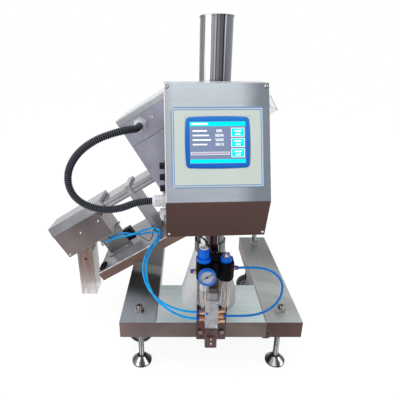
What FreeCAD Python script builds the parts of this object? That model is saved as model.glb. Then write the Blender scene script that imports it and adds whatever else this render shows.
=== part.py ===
"""A tablet metal detector: a tilted search head with its chute and air-driven reject flap, a control
box, a mast and a wheeled base. Millimetres, +Z up, +X to the right, +Y to the back. The origin is on
the floor, under the mast's axis."""
import FreeCAD, Part
import Sketcher
import math
import os
import re

from FreeCAD import Placement, Rotation, Vector

os.makedirs("parts", exist_ok=True)
doc = FreeCAD.newDocument("TabletMetalDetector")
sheet = doc.addObject("Spreadsheet::Sheet", "Sizes")

SIZES = [
    # Base: two box rails joined by a folded cross beam, on four levelling feet and four casters
    ("base_length", 500, "rails, front to back"),
    ("base_width", 500, "over both rails"),
    ("front_reach", 116, "mast axis to the base's front face"),
    ("floor_gap", 130, "floor to the underside of the rails"),
    ("rail_width", 100, "box rail across"),
    ("rail_height", 50, "box rail, top to bottom"),
    ("sheet_wall", 3, "wall of the rails and the beam"),
    ("beam_depth", 172, "cross beam, front to back"),
    ("seat_gap", 0.2, "gap between pieces that seat on each other"),
    ("running_gap", 0.05, "radial gap of a shaft in its bore"),
    ("foot_inset", 46, "foot axis behind the end of its rail"),
    ("stud_radius", 8, "levelling foot's stud"),
    ("front_stud_rise", 22, "front studs above the rail"),
    ("rear_stud_rise", 36, "rear studs above the rail"),
    ("nut_height", 13, "lock nut"),
    ("nut_radius", 13.8, "lock nut over its corners"),
    ("pad_radius", 29, "foot pad"),
    ("pad_edge", 5, "foot pad's straight rim"),
    ("pad_height", 22, "foot pad with its cone"),
    ("caster_back", 76, "caster's swivel axis from the foot's axis, along the rail"),
    ("caster_side", 12, "swivel axis from the rail's centre line, towards the middle"),
    ("wheel_radius", 37.5, "caster wheel"),
    ("wheel_width", 24, "caster wheel"),
    ("wheel_gap", 5, "wheel above the floor while the feet carry the base"),
    ("wheel_trail", 22, "wheel axle behind the swivel axis"),
    ("fork_leg", 3, "thickness of the fork's legs"),
    ("kingpin_radius", 6, "swivel pin"),
    ("axle_radius", 5, "wheel axle"),
    # Mast
    ("mast_radius", 38, "mast tube"),
    ("mast_wall", 2, "mast tube's wall"),
    ("mast_top", 936, "top of the mast above the floor"),
    ("foot_radius", 80, "spun foot at the beam"),
    ("foot_rim", 32, "straight rim of the spun foot"),
    ("foot_height", 165, "spun foot, top to bottom"),
    ("foot_wall", 2.5, "spun foot's wall"),
    ("collar_height", 30, "mast collar"),
    ("collar_wall", 5, "mast collar, radially"),
    # Carriage on the mast
    ("sleeve_low", 420, "bottom of the carriage sleeve"),
    ("sleeve_length", 270, "carriage sleeve"),
    ("sleeve_wall", 7.95, "carriage sleeve"),
    ("slit_width", 4, "clamp slit in the sleeve"),
    ("lug_reach", 72, "clamp lugs from the mast's axis"),
    ("lug_level", 447, "clamp screw above the floor"),
    ("quadrant_wall", 4, "tilt quadrant plate"),
    ("slot_radius", 180, "pivot to the lock stud"),
    ("tilt_flatter", 11, "degrees the head can be laid flatter"),
    ("tilt_steeper", 4, "degrees the head can be set steeper"),
    # Control box, in its own frame: x across, y back, z up
    ("box_turn", 3, "degrees the box is turned about the mast"),
    ("box_shift", -13, "box centre from the mast's axis"),
    ("box_width", 219, "across"),
    ("box_back", 52, "back of the box in front of the mast's axis"),
    ("box_low", 479, "bottom"),
    ("box_low_front", 185, "bottom front edge"),
    ("box_fold", 570, "fold between the upper and lower front faces"),
    ("box_fold_front", 210, "fold, in front of the mast's axis"),
    ("box_top", 799, "top"),
    ("box_top_front", 122, "top front edge"),
    ("box_wall", 2, "sheet of the box"),
    ("panel_width", 192, "membrane panel"),
    ("panel_height", 166, "membrane panel"),
    ("panel_low", 29.6, "membrane panel above the fold, along the face"),
    ("panel_wall", 0.8, "membrane panel"),
    ("screen_width", 135.6, "screen with its bezel"),
    ("screen_height", 107.8, "screen with its bezel"),
    ("screen_low", 68.8, "screen above the fold, along the face"),
    ("screen_depth", 14, "screen module"),
    # Tilted unit, in its own frame: x up the slope, y back, z square to the slope
    ("tilt_angle", 31, "degrees between the chute and the floor"),
    ("chute_centre", 145, "centre plane of the chute behind the mast's axis"),
    ("chute_width", 86, "chute outside"),
    ("chute_height", 26, "chute outside"),
    ("chute_wall", 3, "chute's clear sheet"),
    ("chute_low", 519, "underside of the chute"),
    ("chute_exit", -76, "lower end of the chute"),
    ("chute_mouth", 527, "upper end of the chute"),
    ("mouth_length", 86, "open mouth at the upper end"),
    ("mouth_height", 46, "sides of the open mouth"),
    ("head_start", 139, "lower side of the search head"),
    ("head_length", 160, "search head along the chute"),
    ("head_front", 54, "front face of the head behind the mast's axis"),
    ("head_depth", 182, "search head, front to back"),
    ("head_low", 423, "underside of the search head"),
    ("coil_height", 222, "coil case"),
    ("wiring_height", 64, "wiring case on the coil case"),
    ("lid_height", 17, "lid"),
    ("aperture_gap", 1.5, "chute to the head's opening"),
    ("head_gland_along", 192, "cable gland on the wiring case"),
    ("head_gland_level", 685, "cable gland on the wiring case"),
    ("post_radius", 8, "posts under the head"),
    ("tray_start", -177, "lower end of the tray"),
    ("tray_length", 557, "tray"),
    ("tray_depth", 246, "tray, front to back"),
    ("tray_level", 368, "top of the tray"),
    ("tray_flange", 30, "tray's flanges"),
    ("tray_wall", 2, "tray's sheet"),
    ("cheek_wall", 3.2, "pivot cheek on the tray"),
    ("pivot_along", 319, "pivot, along the slope"),
    ("pivot_level", 395, "pivot, square to the slope"),
    ("pivot_radius", 8, "pivot pin"),
    ("lock_radius", 5, "lock stud"),
    ("knob_radius", 18, "lock knob"),
    ("stand_width", 16, "bars of the chute stands"),
    ("stand_wall", 3, "bars of the chute stands"),
    ("stand_along", 39, "lower chute stand"),
    ("stand_spacing", 306, "upper chute stand from the lower one"),
    # Reject unit at the chute's lower end
    ("reject_start", -246, "lower end of the reject case"),
    ("reject_length", 169, "reject case"),
    ("reject_low", 445, "underside of the reject case"),
    ("reject_wall", 2, "reject case's sheet"),
    ("lid_level", 530, "lower edge of the reject lid"),
    ("lid_top", 558, "top of the reject lid"),
    ("lid_lean", 8, "slant of the reject lid's sides"),
    ("lid_over", 30, "reject lid beyond the case"),
    ("flap_along", -156, "flap axle"),
    ("flap_level", 517.5, "flap axle"),
    ("flap_length", 65, "flap from its axle"),
    ("flap_axle", 3, "flap axle's radius"),
    ("crank_length", 18, "crank from the axle"),
    ("flap_swing", 50, "degrees the flap opens"),
    ("cylinder_radius", 9, "air cylinder"),
    ("cylinder_length", 52, "air cylinder"),
    ("rod_radius", 3, "piston rod"),
    ("actuator_plane", 112, "air cylinder behind the mast's axis"),
    ("spout_left", -416, "spout's left side"),
    ("spout_width", 50, "spout outside"),
    ("spout_front", 104, "spout's front behind the mast's axis"),
    ("spout_depth", 66, "spout outside"),
    ("spout_low", 112, "spout's lower end above the floor"),
    # Air set and valve on the front plate
    ("plate_width", 80, "front plate"),
    ("plate_wall", 5, "front plate"),
    ("plate_low", 127, "front plate's lower end"),
    ("plate_top", 398, "front plate's upper end"),
    ("unit_spacing", 53, "filter to lubricator, centre to centre"),
    ("unit_width", 36, "filter and lubricator bodies"),
    ("unit_depth", 40, "filter and lubricator bodies"),
    ("unit_standoff", 17.5, "filter and lubricator in front of the plate"),
    ("unit_low", 360, "filter and lubricator bodies"),
    ("unit_top", 400, "filter and lubricator bodies"),
    ("bowl_radius", 15.2, "clear bowls"),
    ("bowl_wall", 2.5, "clear bowls"),
    ("bowl_low", 272, "clear bowls"),
    ("regulator_knob_radius", 13, "regulator knob"),
    ("regulator_knob_height", 26.5, "regulator knob"),
    ("gauge_across", -20, "pressure gauge from the plate's centre line"),
    ("gauge_radius", 20.8, "pressure gauge"),
    ("gauge_depth", 14, "pressure gauge"),
    ("gauge_level", 374, "pressure gauge above the floor"),
    ("inlet_level", 370, "air inlet above the floor"),
    ("outlet_level", 380, "air outlet above the floor"),
    ("valve_width", 34, "solenoid valve body"),
    ("valve_depth", 22, "solenoid valve body"),
    ("valve_low", 183, "solenoid valve body"),
    ("valve_height", 89, "solenoid valve body"),
    ("valve_centre", -2, "solenoid valve from the mast's plane"),
    ("coil_drop", 61, "coil below the valve body"),
    ("tube_radius", 3, "air tubes"),
    ("conduit_radius", 7.9, "corrugated conduit"),
]
for row, (name, value, meaning) in enumerate(SIZES, start=1):
    sheet.set("A%d" % row, name)
    sheet.set("B%d" % row, str(value))
    sheet.set("C%d" % row, meaning)
    sheet.setAlias("B%d" % row, name)
sheet.recompute()


def formula(text):
    """A formula in the sheet's names, as the document's expressions write it."""
    return re.sub(r"\b[a-z_]+\b(?!\()", lambda word: "Sizes." + word.group(), str(text))


def number(text):
    """The value of a formula, worked out by the document."""
    return float(sheet.evalExpression(formula(text)))


def point(x, y, z):
    return Vector(number(x), number(y), number(z))


def bind(item, name, text):
    """Ties a property to a formula."""
    item.setExpression(name, formula(text))


WORLD = Placement()
TILT = Placement(Vector(), Rotation(Vector(0, -1, 0), number("tilt_angle")))
BOX = Placement(Vector(number("box_shift"), 0, 0), Rotation(Vector(0, 0, 1), number("box_turn")))
FACE_LEAN = math.degrees(math.atan2(
    number("box_fold_front - box_top_front"), number("box_top - box_fold")))
FACE = BOX.multiply(Placement(
    Vector(0, -number("box_fold_front"), number("box_fold")), Rotation(Vector(1, 0, 0), -FACE_LEAN)))
TURNS = {
    "x": Rotation(Vector(0, 1, 0), 90),
    "-x": Rotation(Vector(0, 1, 0), -90),
    "y": Rotation(Vector(1, 0, 0), -90),
    "-y": Rotation(Vector(1, 0, 0), 90),
    "z": Rotation(),
    "-z": Rotation(Vector(1, 0, 0), 180),
}
PLANES = {"x": "YZ_Plane", "y": "XZ_Plane", "z": "XY_Plane"}
nodes = []


def place(item, frame, x=0, y=0, z=0, turn="z"):
    item.Placement = frame.multiply(Placement(point(x, y, z), TURNS[turn]))
    return item


def block(name, frame, low, high):
    """A box between two corners, given as formulas."""
    item = doc.addObject("Part::Box", name)
    for side, first, last in zip(("Length", "Width", "Height"), low, high):
        bind(item, side, "(%s) - (%s)" % (last, first))
    return place(item, frame, *low)


def rod(name, frame, start, turn, radius, length):
    """A cylinder that starts at a point and runs along an axis."""
    item = doc.addObject("Part::Cylinder", name)
    bind(item, "Radius", radius)
    bind(item, "Height", length)
    return place(item, frame, *start, turn)


def cone(name, frame, start, turn, first_radius, last_radius, length):
    item = doc.addObject("Part::Cone", name)
    bind(item, "Radius1", first_radius)
    bind(item, "Radius2", last_radius)
    bind(item, "Height", length)
    return place(item, frame, *start, turn)


def hexagon(name, frame, start, turn, corner_radius, length):
    item = doc.addObject("Part::Prism", name)
    item.Polygon = 6
    bind(item, "Circumradius", corner_radius)
    bind(item, "Height", length)
    return place(item, frame, *start, turn)


def cut(name, base, *tools):
    for count, tool in enumerate(tools, start=1):
        result = doc.addObject("Part::Cut", name if count == len(tools) else "%s_cut%d" % (name, count))
        result.Base = base
        result.Tool = tool
        base = result
    return base


def fuse(name, *pieces):
    item = doc.addObject("Part::MultiFuse", name)
    item.Shapes = list(pieces)
    item.Refine = True
    return item


def group(name, *pieces):
    item = doc.addObject("Part::Compound", name)
    item.Links = list(pieces)
    return item


def node(name, item):
    """Names a sub-part, which is then written to a file of that name."""
    item.Label = name
    nodes.append(item)
    return item


def outline(body, name, plane, offset, loops):
    """A sketch on one of the body's own planes. Each loop is a list of corners, or a circle given as
    its centre and radius. Every corner is tied to its formulas."""
    sketch = body.newObject("Sketcher::SketchObject", name)
    role = PLANES[plane]
    origin_plane = [item for item in body.Origin.OriginFeatures if item.Role == role][0]
    sketch.AttachmentSupport = [(origin_plane, "")]
    sketch.MapMode = "FlatFace"
    bind(sketch, "AttachmentOffset.Base.z", offset)

    def tie(kind, geometry, corner, text):
        index = sketch.addConstraint(Sketcher.Constraint(kind, -1, 1, geometry, corner, number(text)))
        bind(sketch, "Constraints[%d]" % index, text)

    for loop in loops:
        if len(loop) == 3 and isinstance(loop[0], (str, int, float)):
            across, up, radius = loop
            centre = Vector(number(across), number(up), 0)
            circle = sketch.addGeometry(Part.Circle(centre, Vector(0, 0, 1), number(radius)))
            tie("DistanceX", circle, 3, across)
            tie("DistanceY", circle, 3, up)
            index = sketch.addConstraint(Sketcher.Constraint("Radius", circle, number(radius)))
            bind(sketch, "Constraints[%d]" % index, radius)
            continue
        corners = [Vector(number(across), number(up), 0) for across, up in loop]
        sides = []
        for first, last in zip(corners, corners[1:] + corners[:1]):
            sides.append(sketch.addGeometry(Part.LineSegment(first, last)))
        for side, following in zip(sides, sides[1:] + sides[:1]):
            sketch.addConstraint(Sketcher.Constraint("Coincident", side, 2, following, 1))
        for side, (across, up) in zip(sides, loop):
            tie("DistanceX", side, 1, across)
            tie("DistanceY", side, 1, up)
    return sketch


def rectangle(left, low, right, high):
    return [(left, low), (right, low), (right, high), (left, high)]


def profile(name, frame, plane, low, high, *loops):
    """A body padded from a sketch, between two distances along the sketch plane's axis."""
    body = doc.addObject("PartDesign::Body", name)
    offset = "-(%s)" % high if plane == "y" else low
    sketch = outline(body, name + "_outline", plane, offset, loops)
    pad = body.newObject("PartDesign::Pad", name + "_pad")
    pad.Profile = sketch
    bind(pad, "Length", "(%s) - (%s)" % (high, low))
    body.Tip = pad
    body.Placement = frame
    return body


def turned(name, frame, corners, start=(0, 0, 0), turn="z"):
    """A body turned about its own Z axis from a profile of radius and height."""
    body = doc.addObject("PartDesign::Body", name)
    sketch = outline(body, name + "_outline", "y", 0, [corners])
    spin = body.newObject("PartDesign::Revolution", name + "_turn")
    spin.Profile = sketch
    spin.ReferenceAxis = (sketch, ["V_Axis"])
    spin.Angle = 360
    body.Tip = spin
    return place(body, frame, *start, turn)


def rounded(body, radius, chosen):
    """Rounds the edges of a body whose middle point passes a test, in the body's own frame."""
    doc.recompute()
    base = body.Tip
    names = []
    for count, edge in enumerate(base.Shape.Edges, start=1):
        middle = edge.valueAt((edge.FirstParameter + edge.LastParameter) / 2)
        along = edge.tangentAt(edge.FirstParameter)
        if chosen(middle, along):
            names.append("Edge%d" % count)
    fillet = body.newObject("PartDesign::Fillet", body.Name + "_fillet")
    fillet.Base = (base, names)
    bind(fillet, "Radius", radius)
    body.Tip = fillet
    return body


def route_tube(name, corners, radius):
    """A tube along straight runs joined by arcs, each as large as its two runs allow."""
    corners = [Vector(*corner) for corner in corners]
    edges = []
    radii = []
    start = corners[0]
    for before, corner, after in zip(corners, corners[1:], corners[2:]):
        back = (before - corner).normalize()
        ahead = (after - corner).normalize()
        turn = math.pi - back.getAngle(ahead)
        tangent = 0.45 * min((corner - before).Length, (after - corner).Length)
        arc_radius = tangent / math.tan(turn / 2)
        radii.append(arc_radius)
        inward = (back + ahead).normalize()
        middle = corner + inward * (arc_radius / math.cos(turn / 2) - arc_radius)
        edges.append(Part.LineSegment(start, corner + back * tangent).toShape())
        edges.append(Part.Arc(corner + back * tangent, middle, corner + ahead * tangent).toShape())
        start = corner + ahead * tangent
    edges.append(Part.LineSegment(start, corners[-1]).toShape())
    path = Part.Wire(edges)
    size = number(radius)
    ring = Part.Wire(Part.makeCircle(size, corners[0], corners[1] - corners[0]))
    shape = path.makePipeShell([ring], True, True)
    item = doc.addObject("Part::Feature", name)
    item.Shape = shape
    share = shape.Volume / (math.pi * size ** 2 * path.Length)
    print("%s: length %.0f, tightest bend %.0f, volume share %.4f"
          % (name, path.Length, min(radii), share))
    return item


# Rails: closed box rails with a hole through top and bottom for each levelling foot
RAIL_TOP = "floor_gap + rail_height"
FRONT = "-front_reach"
REAR = "base_length - front_reach"
FOOT_ROWS = {"front": "foot_inset - front_reach", "rear": "base_length - front_reach - foot_inset"}
SIDES = {"left": -1, "right": 1}


def foot_across(side):
    return "%d * (base_width - rail_width) / 2" % SIDES[side]


def caster_across(side):
    return "%d * ((base_width - rail_width) / 2 - caster_side)" % SIDES[side]


def caster_row(row):
    return "%s %s caster_back" % (FOOT_ROWS[row], "+" if row == "front" else "-")


for side in SIDES:
    centre = foot_across(side)
    left = "%s - rail_width / 2" % centre
    right = "%s + rail_width / 2" % centre
    rail = block("rail_%s_outside" % side, WORLD, (left, FRONT, "floor_gap"), (right, REAR, RAIL_TOP))
    inside = block(
        "rail_%s_inside" % side, WORLD,
        (left + " + sheet_wall", FRONT + " + sheet_wall", "floor_gap + sheet_wall"),
        (right + " - sheet_wall", REAR + " - sheet_wall", RAIL_TOP + " - sheet_wall"))
    holes = [
        rod("rail_%s_%s_hole" % (side, row), WORLD, (centre, along, "floor_gap - 1"), "z",
            "stud_radius + running_gap", "rail_height + 2")
        for row, along in FOOT_ROWS.items()]
    node("rail_" + side, cut("rail_" + side, rail, inside, *holes))

# Cross beam: a folded channel, open below, between the rails
BEAM_END = "base_width / 2 - rail_width - seat_gap"
beam = profile(
    "cross_beam", WORLD, "x", "-(%s)" % BEAM_END, BEAM_END,
    [
        (FRONT, "floor_gap"), (FRONT + " + sheet_wall", "floor_gap"),
        (FRONT + " + sheet_wall", RAIL_TOP + " - sheet_wall"),
        (FRONT + " + beam_depth - sheet_wall", RAIL_TOP + " - sheet_wall"),
        (FRONT + " + beam_depth - sheet_wall", "floor_gap"), (FRONT + " + beam_depth", "floor_gap"),
        (FRONT + " + beam_depth", RAIL_TOP), (FRONT, RAIL_TOP),
    ])
node("cross_beam", beam)

# Levelling feet: a threaded stud on a domed pad, with a lock nut on the rail
nuts = []
for row, along in FOOT_ROWS.items():
    for side in SIDES:
        name = "%s_%s" % (row, side)
        stud_top = "%s + %s_stud_rise" % (RAIL_TOP, row)
        foot = turned("foot_" + name, WORLD, [
            (0, 0), ("pad_radius", 0), ("pad_radius", "pad_edge"), ("stud_radius + 5", "pad_height"),
            ("stud_radius", "pad_height"), ("stud_radius", stud_top + " - 1.5"),
            ("stud_radius - 1.5", stud_top), (0, stud_top),
        ], (foot_across(side), along, 0))
        node("foot_" + name, foot)
        nut = hexagon("nut_blank_" + name, WORLD, (foot_across(side), along, RAIL_TOP), "z",
                      "nut_radius", "nut_height")
        thread = rod("nut_bore_" + name, WORLD, (foot_across(side), along, RAIL_TOP + " - 1"), "z",
                     "stud_radius + running_gap", "nut_height + 2")
        nuts.append(cut("nut_" + name, nut, thread))
node("foot_lock_nuts", group("foot_lock_nuts", *nuts))

# Casters: a fixed plate under the rail, a swivelling fork on its kingpin, and a wheel on its axle
PLATE_LOW = "floor_gap - 6"
RACE_LOW = "floor_gap - 13"
CROWN_TOP = "floor_gap - 13.3"
AXLE_LEVEL = "wheel_gap + wheel_radius"
TRAIL = {"front_left": (-1, 0), "front_right": (0, 1), "rear_left": (0, 1), "rear_right": (-1, 0)}
plates = []
for row in FOOT_ROWS:
    for side in SIDES:
        name = "%s_%s" % (row, side)
        across, along = caster_across(side), caster_row(row)
        plate = block("caster_plate_sheet_" + name, WORLD,
                      (across + " - 30", along + " - 38", PLATE_LOW),
                      (across + " + 30", along + " + 38", "floor_gap - seat_gap"))
        race = cone("caster_race_" + name, WORLD, (across, along, RACE_LOW), "z", 23, 27, 7)
        bore = rod("caster_bore_" + name, WORLD, (across, along, "floor_gap - 20"), "z",
                   "kingpin_radius + running_gap", 19)
        plates.append(cut("caster_plate_" + name, fuse("caster_top_" + name, plate, race), bore))
        step_x, step_y = TRAIL[name]
        heading = Placement(point(across, along, 0), Rotation(
            Vector(0, 0, 1), math.degrees(math.atan2(step_y, step_x))))
        crown = turned("caster_crown_" + name, heading, [
            (0, "floor_gap - 19"), (24, "floor_gap - 19"), (26, "floor_gap - 17"),
            (26, CROWN_TOP), ("kingpin_radius", CROWN_TOP), ("kingpin_radius", "floor_gap - 3"),
            (0, "floor_gap - 3"),
        ])
        legs = []
        for edge in (-1, 1):
            inner = "%d * (wheel_width / 2 + 1.5)" % edge
            outer = "%d * (wheel_width / 2 + 1.5 + fork_leg)" % edge
            near, far = (outer, inner) if edge < 0 else (inner, outer)
            leg = profile("caster_leg_%s_%s" % (name, "a" if edge < 0 else "b"), heading, "y", near, far, [
                (-18, "floor_gap - 16"), (20, "floor_gap - 16"),
                ("wheel_trail + 9", AXLE_LEVEL + " + 4"), ("wheel_trail + 6", AXLE_LEVEL + " - 8"),
                ("wheel_trail - 6", AXLE_LEVEL + " - 8"), ("wheel_trail - 11", AXLE_LEVEL + " + 4"),
            ])
            legs.append(leg)
        axle = rod("caster_axle_" + name, heading,
                   ("wheel_trail", "-(wheel_width / 2 + 4 + fork_leg)", AXLE_LEVEL), "y",
                   "axle_radius", "wheel_width + 8 + 2 * fork_leg")
        node("caster_fork_" + name, fuse("caster_fork_" + name, crown, axle, *legs))
        half = "wheel_width / 2"
        wheel = turned("caster_wheel_" + name, heading, [
            ("axle_radius + running_gap", "-(%s) - 1" % half), (11, "-(%s) - 1" % half),
            (11, "-(%s) + 3" % half), ("wheel_radius - 12", "-(%s) + 3" % half),
            ("wheel_radius - 11", "-(%s)" % half), ("wheel_radius - 3", "-(%s)" % half),
            ("wheel_radius", "-(%s) + 5" % half), ("wheel_radius", half + " - 5"),
            ("wheel_radius - 3", half), ("wheel_radius - 11", half),
            ("wheel_radius - 12", half + " - 3"), (11, half + " - 3"),
            (11, half + " + 1"), ("axle_radius + running_gap", half + " + 1"),
        ], ("wheel_trail", 0, AXLE_LEVEL), "y")
        node("caster_wheel_" + name, wheel)
node("caster_plates", group("caster_plates", *plates))

# Mast: a polished tube with a domed cap, standing in a spun foot and held by a split collar
FOOT_TOP = RAIL_TOP + " + foot_height"
mast = turned("mast_tube", WORLD, [
    ("mast_radius - mast_wall", RAIL_TOP), ("mast_radius", RAIL_TOP), ("mast_radius", "mast_top - 3"),
    ("mast_radius + 1.5", "mast_top - 3"), ("mast_radius + 1.5", "mast_top - 1"),
    ("mast_radius - 1", "mast_top"), (0, "mast_top"), (0, "mast_top - 4"),
    ("mast_radius - mast_wall", "mast_top - 4"),
])
node("mast_tube", mast)
spun = turned("mast_foot", WORLD, [
    ("foot_radius", RAIL_TOP), ("foot_radius", RAIL_TOP + " + foot_rim"),
    ("mast_radius + 5", FOOT_TOP), ("mast_radius + seat_gap", FOOT_TOP),
    ("mast_radius + seat_gap", FOOT_TOP + " - 6"),
    ("foot_radius - foot_wall", RAIL_TOP + " + foot_rim - 1"), ("foot_radius - foot_wall", RAIL_TOP),
])
node("mast_foot", spun)
COLLAR_LOW = FOOT_TOP + " + seat_gap"
collar = turned("collar_ring", WORLD, [
    ("mast_radius + seat_gap", COLLAR_LOW),
    ("mast_radius + seat_gap + collar_wall", COLLAR_LOW),
    ("mast_radius + seat_gap + collar_wall", COLLAR_LOW + " + collar_height"),
    ("mast_radius + seat_gap", COLLAR_LOW + " + collar_height"),
])
EAR_END = "-(mast_radius + collar_wall + 13)"
EAR_MIDDLE = "-(mast_radius + collar_wall + 6)"
COLLAR_MIDDLE = COLLAR_LOW + " + collar_height / 2"
ear = block("collar_ear", WORLD, (-11, EAR_END, COLLAR_LOW),
            (11, "-(mast_radius + collar_wall - 4)", COLLAR_LOW + " + collar_height"))
slit = block("collar_slit", WORLD, (-0.6, EAR_END + " - 1", COLLAR_LOW + " - 1"),
             (0.6, "-(mast_radius - 2)", COLLAR_LOW + " + collar_height + 1"))
screw_hole = rod("collar_hole", WORLD, (-15, EAR_MIDDLE, COLLAR_MIDDLE), "x", 4, 30)
split_ring = cut("collar_split", fuse("collar_blank", collar, ear), slit, screw_hole)
collar_screw = fuse(
    "collar_screw",
    rod("collar_shank", WORLD, (-12, EAR_MIDDLE, COLLAR_MIDDLE), "x", 3.9, 26),
    hexagon("collar_head", WORLD, ("-11 - seat_gap", EAR_MIDDLE, COLLAR_MIDDLE), "-x", 7, 5))
node("mast_collar", group("mast_collar", split_ring, collar_screw))

# Carriage: a sleeve that slides on the mast, slit and clamped by a lever, with a saddle for the
# control box in front and the tilt quadrant welded behind
SLEEVE_OUT = "mast_radius + running_gap + sleeve_wall"
SLEEVE_TOP = "sleeve_low + sleeve_length"
sleeve = turned("sleeve_tube", WORLD, [
    ("mast_radius + running_gap", "sleeve_low"), (SLEEVE_OUT, "sleeve_low"),
    (SLEEVE_OUT, SLEEVE_TOP), ("mast_radius + running_gap", SLEEVE_TOP),
])
lugs = block("sleeve_lugs", WORLD, (SLEEVE_OUT + " - 3", -14, "lug_level - 15"),
             ("lug_reach", 14, "lug_level + 15"))
slit = block("sleeve_slit", WORLD, ("mast_radius - 5", "-slit_width / 2", "sleeve_low - 1"),
             ("lug_reach + 1", "slit_width / 2", "lug_level + 40"))
LEVER_ACROSS = "lug_reach - 11"
lug_hole = rod("sleeve_lug_hole", WORLD, (LEVER_ACROSS, -20, "lug_level"), "y",
               "axle_radius + running_gap", 40)
clamp = cut("sleeve_clamp", fuse("sleeve_blank", sleeve, lugs), slit, lug_hole)

saddle_blank = block("saddle_blank", BOX, (-40, "-box_back", 530), (40, -20, 680))
saddle_bore = rod("saddle_bore", WORLD, (0, 0, 500), "z", SLEEVE_OUT + " + seat_gap", 250)
saddle = cut("box_saddle", saddle_blank, saddle_bore)

QUADRANT_FRONT = SLEEVE_OUT + " + seat_gap"
QUADRANT_BACK = QUADRANT_FRONT + " + quadrant_wall"
pivot = TILT.multVec(point("pivot_along", 0, "pivot_level"))
pivot_frame = Placement(Vector(pivot.x, 0, pivot.z), Rotation())
first_angle = 180 + number("tilt_angle - tilt_flatter")
sector = doc.addObject("Part::Cylinder", "quadrant_sector")
bind(sector, "Radius", "slot_radius + 20")
bind(sector, "Height", "quadrant_wall")
bind(sector, "Angle", "tilt_flatter + tilt_steeper + 14")
sector.Placement = Placement(
    Vector(pivot.x, number(QUADRANT_BACK), pivot.z),
    Rotation(Vector(1, 0, 0), 90).multiply(Rotation(Vector(0, 0, 1), first_angle - 7)))
disc = rod("quadrant_disc", pivot_frame, (0, QUADRANT_FRONT, 0), "y", 24, "quadrant_wall")
pad = block("quadrant_pad", WORLD, (-36, QUADRANT_FRONT, 445), (60, QUADRANT_BACK, 545))


def slot_piece(name, radius):
    piece = doc.addObject("Part::Cylinder", name)
    piece.Radius = radius
    piece.Height = 20
    bind(piece, "Angle", "tilt_flatter + tilt_steeper")
    piece.Placement = Placement(
        Vector(pivot.x, number(QUADRANT_BACK) + 5, pivot.z),
        Rotation(Vector(1, 0, 0), 90).multiply(Rotation(Vector(0, 0, 1), first_angle)))
    return piece


slot_half = number("lock_radius") + 0.4
slot_middle = number("slot_radius")
slot = cut("quadrant_slot_arc", slot_piece("quadrant_slot_outer", slot_middle + slot_half),
           slot_piece("quadrant_slot_inner", slot_middle - slot_half))
slot_ends = []
for label, degrees in (("low", first_angle), ("high", first_angle + number("tilt_flatter + tilt_steeper"))):
    angle = math.radians(degrees)
    end = doc.addObject("Part::Cylinder", "quadrant_slot_end_" + label)
    end.Radius = slot_half
    end.Height = 20
    end.Placement = Placement(
        Vector(pivot.x + slot_middle * math.cos(angle), number(QUADRANT_BACK) + 5,
               pivot.z + slot_middle * math.sin(angle)), TURNS["-y"])
    slot_ends.append(end)
pivot_bore = rod("quadrant_bore", pivot_frame, (0, QUADRANT_FRONT + " - 5", 0), "y",
                 "pivot_radius + running_gap", "quadrant_wall + 10")
quadrant = cut("tilt_quadrant", fuse("quadrant_blank", sector, disc, pad),
               fuse("quadrant_slot", slot, *slot_ends), pivot_bore)
node("carriage_sleeve", group("carriage", clamp, saddle, quadrant))

# Clamp lever: a ball-ended lever on the clamp screw
hub = rod("lever_hub", WORLD, (LEVER_ACROSS, "-14 - seat_gap", "lug_level"), "-y", 9, 20)
screw = rod("lever_screw", WORLD, (LEVER_ACROSS, "-16", "lug_level"), "y", "axle_radius", 36)
end_nut = hexagon("lever_nut", WORLD, (LEVER_ACROSS, "14 + seat_gap", "lug_level"), "y", 9, 7)
arm = rod("lever_arm", WORLD, (LEVER_ACROSS, -27, "lug_level"), "x", 4, 50)
ball = doc.addObject("Part::Sphere", "lever_ball")
ball.Radius = 9
place(ball, WORLD, LEVER_ACROSS + " + 53", -27, "lug_level")
node("clamp_lever", fuse("clamp_lever", hub, screw, end_nut, arm, ball))

# Control box: a folded five-sided shell closed by a bent front cover
HALF_BOX = "box_width / 2"
shell_blank = profile("box_shell_blank", BOX, "x", "-" + HALF_BOX, HALF_BOX, [
    ("-box_low_front + box_wall + seat_gap", "box_low"), ("-box_back", "box_low"),
    ("-box_back", "box_top"), ("-box_top_front + box_wall + seat_gap", "box_top"),
    ("-box_fold_front + box_wall + seat_gap", "box_fold"),
])
hollow = block("box_hollow", BOX, ("-%s + box_wall" % HALF_BOX, "-box_fold_front - 20", "box_low + box_wall"),
               (HALF_BOX + " - box_wall", "-box_back - box_wall", "box_top - box_wall"))
node("box_shell", cut("box_shell", shell_blank, hollow))
cover = profile("front_cover_sheet", BOX, "x", "-" + HALF_BOX, HALF_BOX, [
    ("-box_low_front", "box_low"), ("-box_low_front + box_wall", "box_low"),
    ("-box_fold_front + box_wall", "box_fold"), ("-box_top_front + box_wall", "box_top"),
    ("-box_top_front", "box_top"), ("-box_fold_front", "box_fold"),
])
window = block("cover_window", FACE, ("-screen_width / 2 - 0.5", -5, "screen_low - 0.5"),
               ("screen_width / 2 + 0.5", 20, "screen_low + screen_height + 0.5"))
node("front_cover", cut("front_cover", cover, window))
panel = profile("membrane_panel", FACE, "y", "-panel_wall - 0.02", "-0.02",
                rectangle("-panel_width / 2", "panel_low", "panel_width / 2", "panel_low + panel_height"),
                rectangle("-screen_width / 2 - 0.5", "screen_low - 0.5",
                          "screen_width / 2 + 0.5", "screen_low + screen_height + 0.5"))
rounded(panel, "8", lambda middle, along: abs(along.y) > 0.9 and abs(middle.x) > number("panel_width") * 0.45)
node("membrane_panel", panel)
module = block("screen_module", FACE, ("-screen_width / 2", -0.6, "screen_low"),
               ("screen_width / 2", "screen_depth", "screen_low + screen_height"))
node("screen", module)

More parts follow.
